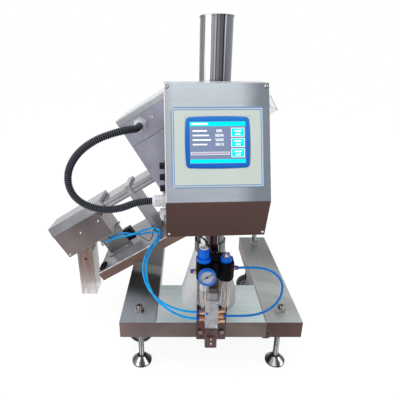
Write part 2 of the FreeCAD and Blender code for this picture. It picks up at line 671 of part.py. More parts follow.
# Control board: the board behind the screen, on four pillars, with its larger parts
board = [block("board_sheet", BOX, (-85, "-box_back - 22", "box_low + 25"),
               (85, "-box_back - 20", "box_low + 185"))]
for side, across in (("left", -75), ("right", 75)):
    for height in (35, 175):
        board.append(rod("board_pillar_%s_%d" % (side, height), BOX,
                         (across, "-box_back - 20", "box_low + %d" % height), "y", 4, "18 - seat_gap"))
for label, left, low, wide, high, deep in (
        ("supply", -75, 45, 60, 90, 26), ("driver", 5, 50, 40, 40, 14), ("terminal", 0, 120, 70, 18, 16)):
    board.append(block("board_" + label, BOX, (left, "-box_back - 22 - %d" % deep, "box_low + %d" % low),
                       (left + wide, "-box_back - 22", "box_low + %d" % (low + high))))
node("control_board", fuse("control_board", *board))

# Fittings on the box's left side: three screw sockets, the conduit's gland and a small gland below it
LEFT_SIDE = "-%s" % HALF_BOX
SOCKET_ROW = "-(box_fold_front + box_back) / 2 + 36"
box_fittings = []
for count in (1, 2, 3):
    level = "box_low + 55 + 27.5 * %d" % count
    box_fittings.append(fuse(
        "socket_%d" % count,
        block("socket_flange_%d" % count, BOX, (LEFT_SIDE + " - 2.5", SOCKET_ROW + " - 9", level + " - 9"),
              (LEFT_SIDE + " - 0.1", SOCKET_ROW + " + 9", level + " + 9")),
        rod("socket_barrel_%d" % count, BOX, (LEFT_SIDE + " - 2", SOCKET_ROW, level), "-x", 7.5, 11)))
GLAND_LEVEL = "box_low + 51"
gland = [
    hexagon("box_gland_hex", BOX, (LEFT_SIDE + " - 0.1", SOCKET_ROW, GLAND_LEVEL), "-x", 17, 9),
    rod("box_gland_body", BOX, (LEFT_SIDE + " - 9", SOCKET_ROW, GLAND_LEVEL), "-x", 13, 6),
    hexagon("box_gland_cap", BOX, (LEFT_SIDE + " - 14", SOCKET_ROW, GLAND_LEVEL), "-x", 15.5, 12),
    cone("box_gland_nose", BOX, (LEFT_SIDE + " - 26", SOCKET_ROW, GLAND_LEVEL), "-x", 13, 10.5, 6),
]
box_fittings.append(fuse("box_gland", *gland))
box_fittings.append(fuse(
    "small_gland",
    block("small_gland_elbow", BOX, (LEFT_SIDE + " - 14", SOCKET_ROW + " - 6", "box_low + 16"),
          (LEFT_SIDE + " - 0.1", SOCKET_ROW + " + 6", "box_low + 29")),
    hexagon("small_gland_cap", BOX, (LEFT_SIDE + " - 8", SOCKET_ROW, "box_low + 17"), "-z", 6.5, 10),
    cone("small_gland_nose", BOX, (LEFT_SIDE + " - 8", SOCKET_ROW, "box_low + 7"), "-z", 5.5, 3.5, 6)))
node("box_fittings", group("box_fittings", *box_fittings))

# Search head: coil case with the chute's opening, wiring case on it and a shallow lid, on four posts
HEAD_END = "head_start + head_length"
HEAD_BACK = "head_front + head_depth"
COIL_TOP = "head_low + coil_height"
WIRING_TOP = COIL_TOP + " + wiring_height"
CHUTE_FRONT = "chute_centre - chute_width / 2"
CHUTE_BACK = "chute_centre + chute_width / 2"
CHUTE_TOP = "chute_low + chute_height"
coil_case = profile(
    "coil_case", TILT, "x", "head_start", HEAD_END,
    rectangle("head_front", "head_low", HEAD_BACK, COIL_TOP),
    rectangle(CHUTE_FRONT + " - aperture_gap", "chute_low - aperture_gap",
              CHUTE_BACK + " + aperture_gap", CHUTE_TOP + " + aperture_gap"))
rounded(coil_case, "4", lambda middle, along: abs(along.x) > 0.9 and not (
    number("chute_low - 10") < middle.z < number(CHUTE_TOP + " + 10")))
wiring_case = block("wiring_case", TILT, ("head_start", "head_front", COIL_TOP + " + seat_gap"),
                    (HEAD_END, HEAD_BACK, WIRING_TOP))
posts = [
    rod("head_post_%s_%s" % (end, side), TILT, (along, back, "tray_level + 0.1"), "z",
        "post_radius", "head_low - tray_level - 0.2")
    for end, along in (("low", "head_start + 16"), ("high", HEAD_END + " - 16"))
    for side, back in (("front", "head_front + 16"), ("back", HEAD_BACK + " - 16"))]
node("head_body", group("head_body", coil_case, wiring_case, *posts))
lid = profile("head_lid", TILT, "x", "head_start - 1", HEAD_END + " + 1", rectangle(
    "head_front - 1", WIRING_TOP + " + seat_gap", HEAD_BACK + " + 1", WIRING_TOP + " + lid_height"))
rounded(lid, "5", lambda middle, along: middle.z > number(WIRING_TOP + " + lid_height") - 0.5)
node("head_lid", lid)
GLAND_ALONG = "head_gland_along"
GLAND_HIGH = "head_gland_level"
node("head_gland", fuse(
    "head_gland",
    hexagon("head_gland_hex", TILT, (GLAND_ALONG, "head_front - 0.1", GLAND_HIGH), "-y", 19, 10),
    rod("head_gland_body", TILT, (GLAND_ALONG, "head_front - 9", GLAND_HIGH), "-y", 14, 6),
    hexagon("head_gland_cap", TILT, (GLAND_ALONG, "head_front - 14", GLAND_HIGH), "-y", 17, 11),
    cone("head_gland_nose", TILT, (GLAND_ALONG, "head_front - 25", GLAND_HIGH), "-y", 14, 10.5, 5)))

# Chute: a clear closed channel through the head, with an open mouth at its upper end
MOUTH_START = "chute_mouth - mouth_length"
closed = profile(
    "chute_closed", TILT, "x", "chute_exit", MOUTH_START,
    rectangle(CHUTE_FRONT, "chute_low", CHUTE_BACK, CHUTE_TOP),
    rectangle(CHUTE_FRONT + " + chute_wall", "chute_low + chute_wall",
              CHUTE_BACK + " - chute_wall", CHUTE_TOP + " - chute_wall"))
mouth = profile("chute_open", TILT, "x", MOUTH_START, "chute_mouth", [
    (CHUTE_FRONT, "chute_low"), (CHUTE_BACK, "chute_low"), (CHUTE_BACK, "chute_low + mouth_height"),
    (CHUTE_BACK + " - chute_wall", "chute_low + mouth_height"),
    (CHUTE_BACK + " - chute_wall", "chute_low + chute_wall"),
    (CHUTE_FRONT + " + chute_wall", "chute_low + chute_wall"),
    (CHUTE_FRONT + " + chute_wall", "chute_low + mouth_height"), (CHUTE_FRONT, "chute_low + mouth_height"),
])
node("chute", fuse("chute", closed, mouth))

# Chute stands: folded brackets on the tray that carry the chute at both sides of the head, each a
# frame around the chute over a closed web
stands = []
for label, along in (("lower", "stand_along"), ("upper", "stand_along + stand_spacing")):
    bracket = profile(
        "stand_frame_" + label, TILT, "x", along, along + " + stand_width",
        rectangle(CHUTE_FRONT + " - seat_gap - stand_wall", "tray_level + 0.1",
                  CHUTE_BACK + " + seat_gap + stand_wall", CHUTE_TOP + " + 7"),
        rectangle(CHUTE_FRONT + " - seat_gap", "tray_level + stand_wall",
                  CHUTE_BACK + " + seat_gap", "chute_low - seat_gap - stand_wall"),
        rectangle(CHUTE_FRONT + " - seat_gap", "chute_low - seat_gap",
                  CHUTE_BACK + " + seat_gap", CHUTE_TOP + " + seat_gap"))
    web = block("stand_web_" + label, TILT,
                (along + " + stand_width - stand_wall", CHUTE_FRONT + " - seat_gap - 1", "tray_level + 1"),
                (along + " + stand_width", CHUTE_BACK + " + seat_gap + 1", "chute_low - seat_gap - 1"))
    stands.append(fuse("chute_stand_" + label, bracket, web))
node("chute_stands", group("chute_stands", *stands))

# Tray: an inverted folded tray that carries the tilted unit, with its pivot cheek, pin and lock stud
TRAY_END = "tray_start + tray_length"
TRAY_BACK = "head_front + tray_depth"
tray_sheet = profile("tray_sheet", TILT, "x", "tray_start", TRAY_END, [
    ("head_front", "tray_level - tray_flange"), ("head_front + tray_wall", "tray_level - tray_flange"),
    ("head_front + tray_wall", "tray_level - tray_wall"),
    (TRAY_BACK + " - tray_wall", "tray_level - tray_wall"),
    (TRAY_BACK + " - tray_wall", "tray_level - tray_flange"), (TRAY_BACK, "tray_level - tray_flange"),
    (TRAY_BACK, "tray_level"), ("head_front", "tray_level"),
])
CHEEK_FRONT = "head_front - cheek_wall"
LOCK_ALONG = "pivot_along - slot_radius"
cheek = block("tray_cheek", TILT, (LOCK_ALONG + " - 24", CHEEK_FRONT, "tray_level - tray_flange + 2"),
              ("pivot_along + 24", "head_front", "pivot_level + 22"))
PIN_OUT = "mast_radius + running_gap + sleeve_wall - 8"
pin = rod("pivot_pin", TILT, ("pivot_along", PIN_OUT, "pivot_level"), "y", "pivot_radius",
          "%s - (%s) + 1" % (CHEEK_FRONT, PIN_OUT))
pin_head = hexagon("pivot_head", TILT, ("pivot_along", QUADRANT_FRONT + " - seat_gap", "pivot_level"),
                   "-y", 14, 9)
stud = rod("lock_stud", TILT, (LOCK_ALONG, 24, "pivot_level"), "y", "lock_radius",
           CHEEK_FRONT + " - 24 + 1")
node("tray", fuse("tray", tray_sheet, cheek, pin, pin_head, stud))
knob_bore = rod("knob_bore", TILT, (LOCK_ALONG, 23, "pivot_level"), "y", "lock_radius + running_gap", 40)
knob_base = rod("knob_base", TILT, (LOCK_ALONG, 36, "pivot_level"), "y", 11,
                QUADRANT_FRONT + " - seat_gap - 36")
knob_disc = rod("knob_disc", TILT, (LOCK_ALONG, 26, "pivot_level"), "y", "knob_radius", 14)
scallops = []
for count in range(6):
    angle = math.radians(60 * count)
    scallops.append(rod(
        "knob_scallop_%d" % count, TILT,
        ("%s + (knob_radius + 4) * %.6f" % (LOCK_ALONG, math.cos(angle)), 20,
         "pivot_level + (knob_radius + 4) * %.6f" % math.sin(angle)), "y", 7, 30))
knob_star = cut("knob_star", knob_disc, *scallops)
node("tilt_lock_knob", cut("tilt_lock_knob", fuse("knob_blank", knob_base, knob_star), knob_bore))

# Reject unit: an open case under the chute's end, its passage, a front cover, a hat-section lid and
# the stand that carries it
REJECT_END = "reject_start + reject_length"
CASE_FRONT = CHUTE_FRONT + " - seat_gap - reject_wall"
CASE_BACK = CHUTE_BACK + " + seat_gap + reject_wall"
PASSAGE_LOW = "chute_low - 9"
case_blank = block("case_blank", TILT, ("reject_start", CASE_FRONT, "reject_low"),
                   (REJECT_END, CASE_BACK, "lid_level - 1"))
case_hollow = block("case_hollow", TILT,
                    ("reject_start + reject_wall", CASE_FRONT + " + reject_wall", "reject_low + reject_wall"),
                    (REJECT_END + " - reject_wall", CASE_BACK + " - reject_wall", "lid_level"))
passage_cut = block("case_passage_cut", TILT,
                    ("reject_start - 5", CHUTE_FRONT + " - seat_gap", PASSAGE_LOW + " - seat_gap"),
                    (REJECT_END + " + 5", CHUTE_BACK + " + seat_gap", "lid_level + 5"))
spout_cut = block("case_spout_cut", TILT, ("-214", "spout_front + 4", "reject_low - 2"),
                  ("-165", "spout_front + spout_depth - 4", "reject_low + 5"))
ELBOWS = (("extend", "-108", "116", "reject_low - 15"), ("retract", "-128", "106", "reject_low - 17"))
riser_cuts = []
for label, along, back, low in ELBOWS:
    riser_cuts.append(rod("case_riser_cut_" + label, TILT, (along, back, "reject_low - 2"), "z", 3.3, 6))
case = cut("reject_case", case_blank, case_hollow, passage_cut, spout_cut, *riser_cuts)
passage_blank = profile("passage_blank", TILT, "x", "reject_start", REJECT_END, [
    (CHUTE_FRONT, PASSAGE_LOW), (CHUTE_FRONT + " + chute_wall", PASSAGE_LOW),
    (CHUTE_FRONT + " + chute_wall", "chute_low"), (CHUTE_BACK + " - chute_wall", "chute_low"),
    (CHUTE_BACK + " - chute_wall", PASSAGE_LOW), (CHUTE_BACK, PASSAGE_LOW), (CHUTE_BACK, CHUTE_TOP),
    (CHUTE_BACK + " - chute_wall", CHUTE_TOP), (CHUTE_BACK + " - chute_wall", "chute_low + chute_wall"),
    (CHUTE_FRONT + " + chute_wall", "chute_low + chute_wall"), (CHUTE_FRONT + " + chute_wall", CHUTE_TOP),
    (CHUTE_FRONT, CHUTE_TOP),
])
flap_cut = block("passage_flap_cut", TILT,
                 ("flap_along - flap_length - 1.5", CHUTE_FRONT + " + chute_wall", "chute_low - 2"),
                 ("flap_along + 7", CHUTE_BACK + " - chute_wall", "chute_low + chute_wall + 1"))
axle_bore = rod("passage_axle_bore", TILT, ("flap_along", CHUTE_FRONT + " - 2", "flap_level"), "y",
                "flap_axle + running_gap", "chute_width + 4")
passage = cut("reject_passage", passage_blank, flap_cut, axle_bore)
STAND_START, STAND_END = "-150", "-67"
stand = profile("reject_stand", TILT, "x", STAND_START, STAND_END, [
    (130, "tray_level + 0.1"), (157, "tray_level + 0.1"), (157, "reject_low - seat_gap - 3"),
    (182, "reject_low - seat_gap - 3"), (182, "reject_low - seat_gap"), (154, "reject_low - seat_gap"),
    (154, "tray_level + 3.1"), (130, "tray_level + 3.1"),
])
node("reject_frame", group("reject_frame", case, passage, stand))
reject_front = profile("reject_cover", TILT, "y", CASE_FRONT + " - seat_gap - reject_wall",
                       CASE_FRONT + " - seat_gap",
                       rectangle("reject_start + 2", "reject_low + 2", REJECT_END, "lid_level - 0.5"))
rounded(reject_front, "11", lambda middle, along: abs(along.y) > 0.9 and middle.x > number(REJECT_END) - 1
        and middle.z > number("lid_level") - 5)
node("reject_cover", reject_front)
LID_FRONT = CASE_FRONT + " - 2 * reject_wall + 0.2"
LID_BACK = CASE_BACK + " + 2 * reject_wall - 0.2"
reject_lid = profile("reject_lid", TILT, "x", "reject_start", REJECT_END + " + lid_over", [
    (LID_FRONT, "lid_level"), (LID_FRONT + " + 1.3", "lid_level"),
    (LID_FRONT + " + lid_lean + 0.9", "lid_top - 1.2"), (LID_BACK + " - lid_lean - 0.9", "lid_top - 1.2"),
    (LID_BACK + " - 1.3", "lid_level"), (LID_BACK, "lid_level"), (LID_BACK + " - lid_lean", "lid_top"),
    (LID_FRONT + " + lid_lean", "lid_top"),
])
node("reject_lid", reject_lid)

# Flap: a hinged piece of the passage's floor, with its axle, crank and crank pin
HALF_SWING = "flap_swing / 2"
crank_pin_along = "flap_along - crank_length * sin(%s)" % HALF_SWING
crank_pin_level = "flap_level - crank_length * cos(%s)" % HALF_SWING
flap_sheet = block("flap_sheet", TILT,
                   ("flap_along - flap_length", CHUTE_FRONT + " + chute_wall + 0.5", "chute_low + 0.4"),
                   ("flap_along + 1", CHUTE_BACK + " - chute_wall - 0.5", "chute_low + chute_wall - 0.4"))
flap_axle = rod("flap_axle_rod", TILT, ("flap_along", CHUTE_FRONT + " - seat_gap + 0.4", "flap_level"), "y",
                "flap_axle", "chute_width - 0.4")
crank_frame = TILT.multiply(Placement(
    point("flap_along", "actuator_plane", "flap_level"), Rotation(Vector(0, 1, 0), number(HALF_SWING))))
crank = block("flap_crank", crank_frame, (-3.5, -1.5, "-crank_length - 3"), (3.5, 1.5, 0))
crank_pin = rod("flap_crank_pin", TILT, (crank_pin_along, "actuator_plane - 4", crank_pin_level), "y", 2, 8)
node("reject_flap", fuse("reject_flap", flap_sheet, flap_axle, crank, crank_pin))

# Air cylinder: its barrel, ports and elbows, and the rod whose clevis takes the crank pin in a slot
ROD_LEVEL = "flap_level - crank_length * (1 + cos(%s)) / 2" % HALF_SWING
BARREL_END = REJECT_END + " - reject_wall - seat_gap"
BARREL_START = BARREL_END + " - cylinder_length"
barrel = cut(
    "cylinder_barrel",
    rod("cylinder_blank", TILT, (BARREL_START, "actuator_plane", ROD_LEVEL), "x",
        "cylinder_radius", "cylinder_length"),
    rod("cylinder_bore", TILT, (BARREL_START + " - 1", "actuator_plane", ROD_LEVEL), "x",
        "rod_radius + running_gap", "cylinder_length - 8"))
elbows = []
for label, along, back, low in ELBOWS:
    beside = "(%s - actuator_plane)" % back
    reach = "sqrt(cylinder_radius * cylinder_radius - %s * %s)" % (beside, beside)
    elbows.append(fuse(
        "elbow_" + label,
        rod("elbow_riser_" + label, TILT, (along, back, low), "z", 3,
            "%s - (%s) - (%s) - seat_gap" % (ROD_LEVEL, reach, low)),
        hexagon("elbow_nut_" + label, TILT, (along, back, "reject_low - 6"), "z", 6, "5.8"),
        rod("elbow_body_" + label, TILT, (along + " - 5", back, low), "x", 5.5, 11)))
node("air_cylinder", group("air_cylinder", barrel, *elbows))
CLEVIS_START = crank_pin_along + " - 7"
clevis_blank = block("clevis_blank", TILT, (CLEVIS_START, "actuator_plane - 4.5", ROD_LEVEL + " - 6"),
                     (crank_pin_along + " + 12", "actuator_plane + 4.5", ROD_LEVEL + " + 6"))
clevis_gap = block("clevis_gap", TILT, (CLEVIS_START + " - 1", "actuator_plane - 1.9", ROD_LEVEL + " - 7"),
                   (crank_pin_along + " + 7", "actuator_plane + 1.9", ROD_LEVEL + " + 7"))
clevis_slot = block("clevis_slot", TILT,
                    (crank_pin_along + " - 2.3", "actuator_plane - 6", ROD_LEVEL + " - 3.4"),
                    (crank_pin_along + " + 2.3", "actuator_plane + 6", ROD_LEVEL + " + 3.4"))
piston_rod = rod("piston_rod", TILT, (crank_pin_along + " + 10", "actuator_plane", ROD_LEVEL), "x",
                 "rod_radius", "(%s) - (%s) + 10" % (BARREL_START, crank_pin_along))
node("cylinder_rod", fuse("cylinder_rod", cut("clevis", clevis_blank, clevis_gap, clevis_slot), piston_rod))

# Spout: a clear upright duct under the reject case, cut along the case's slope at its top
spout_blank = profile(
    "spout_blank", WORLD, "z", "spout_low", "spout_low + 230",
    rectangle("spout_left", "spout_front", "spout_left + spout_width", "spout_front + spout_depth"),
    rectangle("spout_left + chute_wall", "spout_front + chute_wall",
              "spout_left + spout_width - chute_wall", "spout_front + spout_depth - chute_wall"))
slope_cut = block("spout_slope_cut", TILT, (-500, 0, "reject_low - seat_gap"),
                  (100, 400, "reject_low + 300"))
node("spout", cut("spout", spout_blank, slope_cut))

# Front plate with the air set: filter with regulator and gauge, lubricator, bracket, rings and bowls
PLATE_FRONT = FRONT + " - plate_wall"
node("valve_plate", block("valve_plate", WORLD, ("-plate_width / 2", PLATE_FRONT, "plate_low"),
                          ("plate_width / 2", FRONT + " - 0.1", "plate_top")))
BOLT_LEVEL = "floor_gap + rail_height / 2"
UNIT_BACK = PLATE_FRONT + " - unit_standoff"
UNIT_FRONT = UNIT_BACK + " - unit_depth"
UNIT_MIDDLE = UNIT_BACK + " - unit_depth / 2"
UNIT_ACROSS = {"filter": "-unit_spacing / 2", "lubricator": "unit_spacing / 2"}
plate_screws = []
for side, across in (("left", -29), ("right", 29)):
    plate_screws.append(hexagon("plate_screw_" + side, WORLD, (across, PLATE_FRONT + " - 0.1", BOLT_LEVEL),
                                "-y", 7, 5))
for side, across in (("left", -4), ("right", 4)):
    plate_screws.append(rod("bracket_screw_" + side, WORLD, (across, UNIT_MIDDLE, "unit_top + 21"),
                            "z", 3, 3))
node("plate_screws", group("plate_screws", *plate_screws))
for name, across in UNIT_ACROSS.items():
    body = profile(name + "_block", WORLD, "z", "unit_low", "unit_top", [
        (across + " - unit_width / 2", UNIT_BACK), (across + " + unit_width / 2", UNIT_BACK),
        (across + " + unit_width / 2", UNIT_FRONT + " + 8"), (across + " + unit_width / 2 - 8", UNIT_FRONT),
        (across + " - unit_width / 2 + 8", UNIT_FRONT), (across + " - unit_width / 2", UNIT_FRONT + " + 8"),
    ])
    skirt = rod(name + "_skirt", WORLD, (across, UNIT_MIDDLE, "unit_low - 8"), "z", "bowl_radius + 2.5", 9)
    recess = rod(name + "_recess", WORLD, (across, UNIT_MIDDLE, "unit_low - 9"), "z",
                 "bowl_radius + seat_gap", 9)
    node(name + "_body", cut(name + "_body", fuse(name + "_blank", body, skirt), recess))
WEB_HALF = "(unit_spacing - unit_width) / 2 - seat_gap"
web = block("bracket_web", WORLD, ("-(%s)" % WEB_HALF, UNIT_FRONT + " + 6", "unit_low"),
            (WEB_HALF, PLATE_FRONT + " - seat_gap", "unit_top"))
cap = block("bracket_cap", WORLD, ("-(%s)" % WEB_HALF, UNIT_MIDDLE + " - 8", "unit_top - 1"),
            (WEB_HALF, PLATE_FRONT + " - 6", "unit_top + 21"))
node("frl_bracket", fuse("frl_bracket", web, cap))
rings = []
for name, radius in (("filter", 17.5), ("lubricator", 14)):
    rings.append(rod(name + "_ring", WORLD, (UNIT_ACROSS[name], UNIT_MIDDLE, "unit_top + 0.1"), "z",
                     radius, 9))
node("frl_rings", group("frl_rings", *rings))
bowls = []
for name, across in UNIT_ACROSS.items():
    bowls.append(turned(name + "_bowl", WORLD, [
        (3.5, "bowl_low - 12"), (4.5, "bowl_low - 11"), (4.5, "bowl_low"), ("bowl_radius - 5", "bowl_low"),
        ("bowl_radius", "bowl_low + 6"), ("bowl_radius", "unit_low - seat_gap"),
        ("bowl_radius - bowl_wall", "unit_low - seat_gap"), ("bowl_radius - bowl_wall", "bowl_low + 7"),
        ("bowl_radius - 6", "bowl_low + bowl_wall"), (0, "bowl_low + bowl_wall"), (0, "bowl_low - 12"),
    ], (across, UNIT_MIDDLE, 0)))
dome = turned("lubricator_dome", WORLD, [
    (0, "unit_top + 9.3"), (9, "unit_top + 9.3"), (9, "unit_top + 15"), (6, "unit_top + 20.5"),
    (0, "unit_top + 21.5"),
], (UNIT_ACROSS["lubricator"], UNIT_MIDDLE, 0))
node("frl_bowls", group("frl_bowls", *bowls, dome))
knob = turned("regulator_knob", WORLD, [
    (0, 0), ("regulator_knob_radius", 0), ("regulator_knob_radius", "regulator_knob_height - 4"),
    ("regulator_knob_radius - 1", "regulator_knob_height - 1.5"),
    ("regulator_knob_radius - 3", "regulator_knob_height"),
    (0, "regulator_knob_height"),
], (UNIT_ACROSS["filter"], UNIT_MIDDLE, "unit_top + 9.4"))
node("regulator_knob", knob)

# Pressure gauge: a case with its dial, on a stem in the filter body, and a pointer on its spindle
GAUGE_BACK = UNIT_FRONT + " - 3"
GAUGE_FRONT = GAUGE_BACK + " - gauge_depth"
gauge_at = ("gauge_across", GAUGE_BACK, "gauge_level")
case_turned = turned("gauge_cup", WORLD, [
    (0, 0), ("gauge_radius - 2", 0), ("gauge_radius", 2), ("gauge_radius", "gauge_depth"),
    ("gauge_radius - 2.5", "gauge_depth"), ("gauge_radius - 2.5", 8), (0.8, 8), (0.8, 6), (0, 6),
], gauge_at, "-y")
stem = rod("gauge_stem", WORLD, ("gauge_across", GAUGE_BACK + " - 1", "gauge_level"), "y", 6, 3.8)
node("gauge_case", fuse("gauge_case", case_turned, stem))
POINTER_FRAME = Placement(point("gauge_across", GAUGE_BACK + " - 8", "gauge_level"),
                          Rotation(Vector(0, 1, 0), -30))
pointer = fuse(
    "gauge_pointer_fused",
    block("pointer_blade", POINTER_FRAME, (-7, -2.2, -0.7), (15, -1.6, 0.7)),
    rod("pointer_hub", POINTER_FRAME, (0, -1.2, 0), "-y", 2.5, 2),
    rod("pointer_spindle", POINTER_FRAME, (0, 1.2, 0), "-y", 0.7, 3))
node("gauge_needle", pointer)

# Solenoid valve: ported body with an end cap above and a coil below, and its push-button override
VALVE_BACK = PLATE_FRONT + " - seat_gap"
VALVE_FRONT = VALVE_BACK + " - valve_depth"
VALVE_LEFT = "valve_centre - valve_width / 2"
VALVE_RIGHT = "valve_centre + valve_width / 2"
VALVE_TOP = "valve_low + valve_height"
valve_blank = block("valve_blank", WORLD, (VALVE_LEFT, VALVE_FRONT, "valve_low"),
                    (VALVE_RIGHT, VALVE_BACK, VALVE_TOP))
valve_cap = block("valve_cap", WORLD, (VALVE_LEFT + " + 4", VALVE_FRONT + " + 2", VALVE_TOP + " - 1"),
                  (VALVE_RIGHT + " - 4", VALVE_BACK, VALVE_TOP + " + 21"))
BUTTON_ALONG = VALVE_LEFT + " + 4.5"
BUTTON_LEVEL = VALVE_TOP + " - 40"
button_bore = rod("valve_button_bore", WORLD, (BUTTON_ALONG, VALVE_FRONT + " - 1", BUTTON_LEVEL), "y",
                  3.05, 9)
node("valve_body", cut("valve_body", fuse("valve_fused", valve_blank, valve_cap), button_bore))
node("override_button", rod("override_button", WORLD, (BUTTON_ALONG, VALVE_FRONT + " + 4", BUTTON_LEVEL),
                            "-y", 3, 7))
coil = profile("valve_coil", WORLD, "z", "valve_low - coil_drop", "valve_low - seat_gap",
               rectangle(VALVE_LEFT + " + 1", VALVE_FRONT + " - 4", VALVE_RIGHT + " - 1", VALVE_BACK))
rounded(coil, "4", lambda middle, along: abs(along.z) > 0.9 and middle.y < number(VALVE_FRONT))
node("valve_coil", coil)

# Air fittings: push-in fittings on the air set and the valve, and two silencers
air_fittings = []


def push_in(name, start, turn, reach):
    x, y, z = start
    sign = 1 if turn == "x" else -1
    air_fittings.append(fuse(
        "fitting_" + name,
        hexagon("fitting_hex_" + name, WORLD, (x, y, z), turn, 7, "%s - 6" % reach),
        rod("fitting_ring_" + name, WORLD, ("%s + %d * (%s - 7)" % (x, sign, reach), y, z), turn, 5, 7)))


UNIT_LEFT = UNIT_ACROSS["filter"] + " - unit_width / 2 - 0.1"
UNIT_RIGHT = UNIT_ACROSS["lubricator"] + " + unit_width / 2 + 0.1"
VALVE_MIDDLE = VALVE_BACK + " - valve_depth / 2"
push_in("inlet", (UNIT_LEFT, UNIT_MIDDLE, "inlet_level"), "-x", "14")
push_in("outlet", (UNIT_RIGHT, UNIT_MIDDLE, "outlet_level"), "x", "11")
push_in("extend", (VALVE_LEFT + " - 0.1", VALVE_MIDDLE, "valve_low + 45"), "-x", "21")
push_in("retract", (VALVE_LEFT + " - 0.1", VALVE_MIDDLE, "valve_low + 24"), "-x", "21")
push_in("supply", (VALVE_RIGHT + " + 0.1", VALVE_MIDDLE, "valve_low + 33"), "x", "21")
for count, level in enumerate(("valve_low + 17", "valve_low + 49"), start=1):
    air_fittings.append(fuse(
        "silencer_%d" % count,
        hexagon("silencer_hex_%d" % count, WORLD, (VALVE_RIGHT + " + 0.1", VALVE_MIDDLE, level), "x", 6.5, 5),
        rod("silencer_cone_%d" % count, WORLD, (VALVE_RIGHT + " + 4", VALVE_MIDDLE, level), "x", 5.5, 15)))
node("air_fittings", group("air_fittings", *air_fittings))

# Air tubes and conduit: each lies free between two fittings
SUPPLY_ROUTE = [
    (55.7, -158.7, 380), (90, -158, 381), (126, -155, 375), (155, -152, 356), (171, -149, 327),
    (173, -146, 296), (165, -143, 266), (144, -139, 238), (116, -134, 221), (80, -132.3, 215),
    (36.2, -132.3, 216),
]
EXTEND_LOWER = [
    (-40.2, -132.3, 228), (-71, -132.3, 230), (-107, -129, 240), (-139, -113, 249), (-167, -88, 263),
    (-184, -62, 284), (-189, -36, 307), (-186, -23, 318),
]
EXTEND_UPPER = [
    (-186, -23, 318), (-183, -10, 329), (-170, 14, 342), (-155, 40, 349), (-150, 68, 353), (-162, 89, 351),
    (-184, 100, 345), (-208, 104, 336), (-240, 110, 334),
    (-264, 114, 336), (-285.7, 116, 330), (-308.8, 116, 316.1),
]
RETRACT_LOWER = [
    (-40.2, -132.3, 207), (-71, -132.3, 209), (-103, -131, 226), (-133, -120, 241), (-158, -97, 257),
    (-175, -68, 280), (-180, -41, 305), (-178, -28, 316),
]
RETRACT_UPPER = [
    (-178, -28, 316), (-176, -15, 327), (-163, 8, 340), (-148, 35, 350), (-143, 64, 361), (-154, 86, 366),
    (-179, 95, 362), (-207, 94, 351), (-239, 96, 337),
    (-271, 102, 328), (-301.2, 106, 318.4), (-324.9, 106, 304.1),
]
CONDUIT_ROUTE = [
    (-188.2, 23.9, 686), (-188.2, -16, 686), (-204, -51, 684), (-236, -73, 677), (-277, -81, 667),
    (-319, -81, 650), (-351, -78, 621), (-366, -76, 586), (-364, -77, 549), (-343, -81, 520),
    (-309, -86, 504), (-268, -93, 503), (-226, -99.5, 513), (-184, -104.1, 530), (-149.5, -102.3, 530),
]
node("supply_tube", route_tube("supply_tube", SUPPLY_ROUTE, "tube_radius"))
node("reject_tubes_lower", group(
    "reject_tubes_lower", route_tube("extend_lower", EXTEND_LOWER, "tube_radius"),
    route_tube("retract_lower", RETRACT_LOWER, "tube_radius")))
node("reject_tubes_upper", group(
    "reject_tubes_upper", route_tube("extend_upper", EXTEND_UPPER, "tube_radius"),
    route_tube("retract_upper", RETRACT_UPPER, "tube_radius")))
node("conduit", route_tube("conduit", CONDUIT_ROUTE, "conduit_radius"))

doc.recompute()
for item in doc.Objects:
    if "Invalid" in item.State or "Error" in item.State:
        raise RuntimeError("%s failed: %s" % (item.Name, item.State))
for item in nodes:
    if item.Shape.isNull() or not item.Shape.isValid():
        raise RuntimeError("%s has no sound shape" % item.Label)
if len({item.Label for item in nodes}) != len(nodes):
    raise RuntimeError("two sub-parts have one name")
for item in nodes:
    item.Shape.exportStep("parts/%s.step" % item.Label)
print("%d sub-parts, mast axis to pivot %.1f, %.1f" % (len(nodes), pivot.x, pivot.z))
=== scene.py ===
import math

import bmesh
import bpy
import numpy as np
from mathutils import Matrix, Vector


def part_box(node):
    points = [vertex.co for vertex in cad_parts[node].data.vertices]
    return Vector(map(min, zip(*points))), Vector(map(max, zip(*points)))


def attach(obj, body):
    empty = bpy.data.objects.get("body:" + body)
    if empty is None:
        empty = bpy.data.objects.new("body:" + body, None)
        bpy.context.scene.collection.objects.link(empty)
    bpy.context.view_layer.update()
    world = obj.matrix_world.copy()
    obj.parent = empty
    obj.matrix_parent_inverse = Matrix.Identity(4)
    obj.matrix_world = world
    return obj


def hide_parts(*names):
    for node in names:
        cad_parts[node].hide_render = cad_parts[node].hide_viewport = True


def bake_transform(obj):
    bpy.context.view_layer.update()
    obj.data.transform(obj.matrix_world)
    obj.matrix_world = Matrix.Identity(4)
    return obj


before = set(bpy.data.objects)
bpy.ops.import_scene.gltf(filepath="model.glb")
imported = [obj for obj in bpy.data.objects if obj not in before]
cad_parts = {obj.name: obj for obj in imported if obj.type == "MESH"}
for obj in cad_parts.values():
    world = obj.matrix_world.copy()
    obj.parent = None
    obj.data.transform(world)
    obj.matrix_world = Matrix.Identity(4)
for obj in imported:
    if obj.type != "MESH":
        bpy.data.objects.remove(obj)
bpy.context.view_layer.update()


# The studio: a pale floor that keeps the machine's shadow, and a plain white surround that the
# camera, metal and glass see as white. Soft lamps stand above and at both sides.
def display(red, green, blue):
    """A colour given as display values from 0 to 255, as the linear values that a shader takes:
    (v + 0.055) / 1.055 raised to 2.4, and v / 12.92 for the darkest values."""
    value = np.array([red, green, blue]) / 255
    linear = np.where(value <= 0.04045, value / 12.92, ((value + 0.055) / 1.055) ** 2.4)
    return (*linear.tolist(), 1.0)


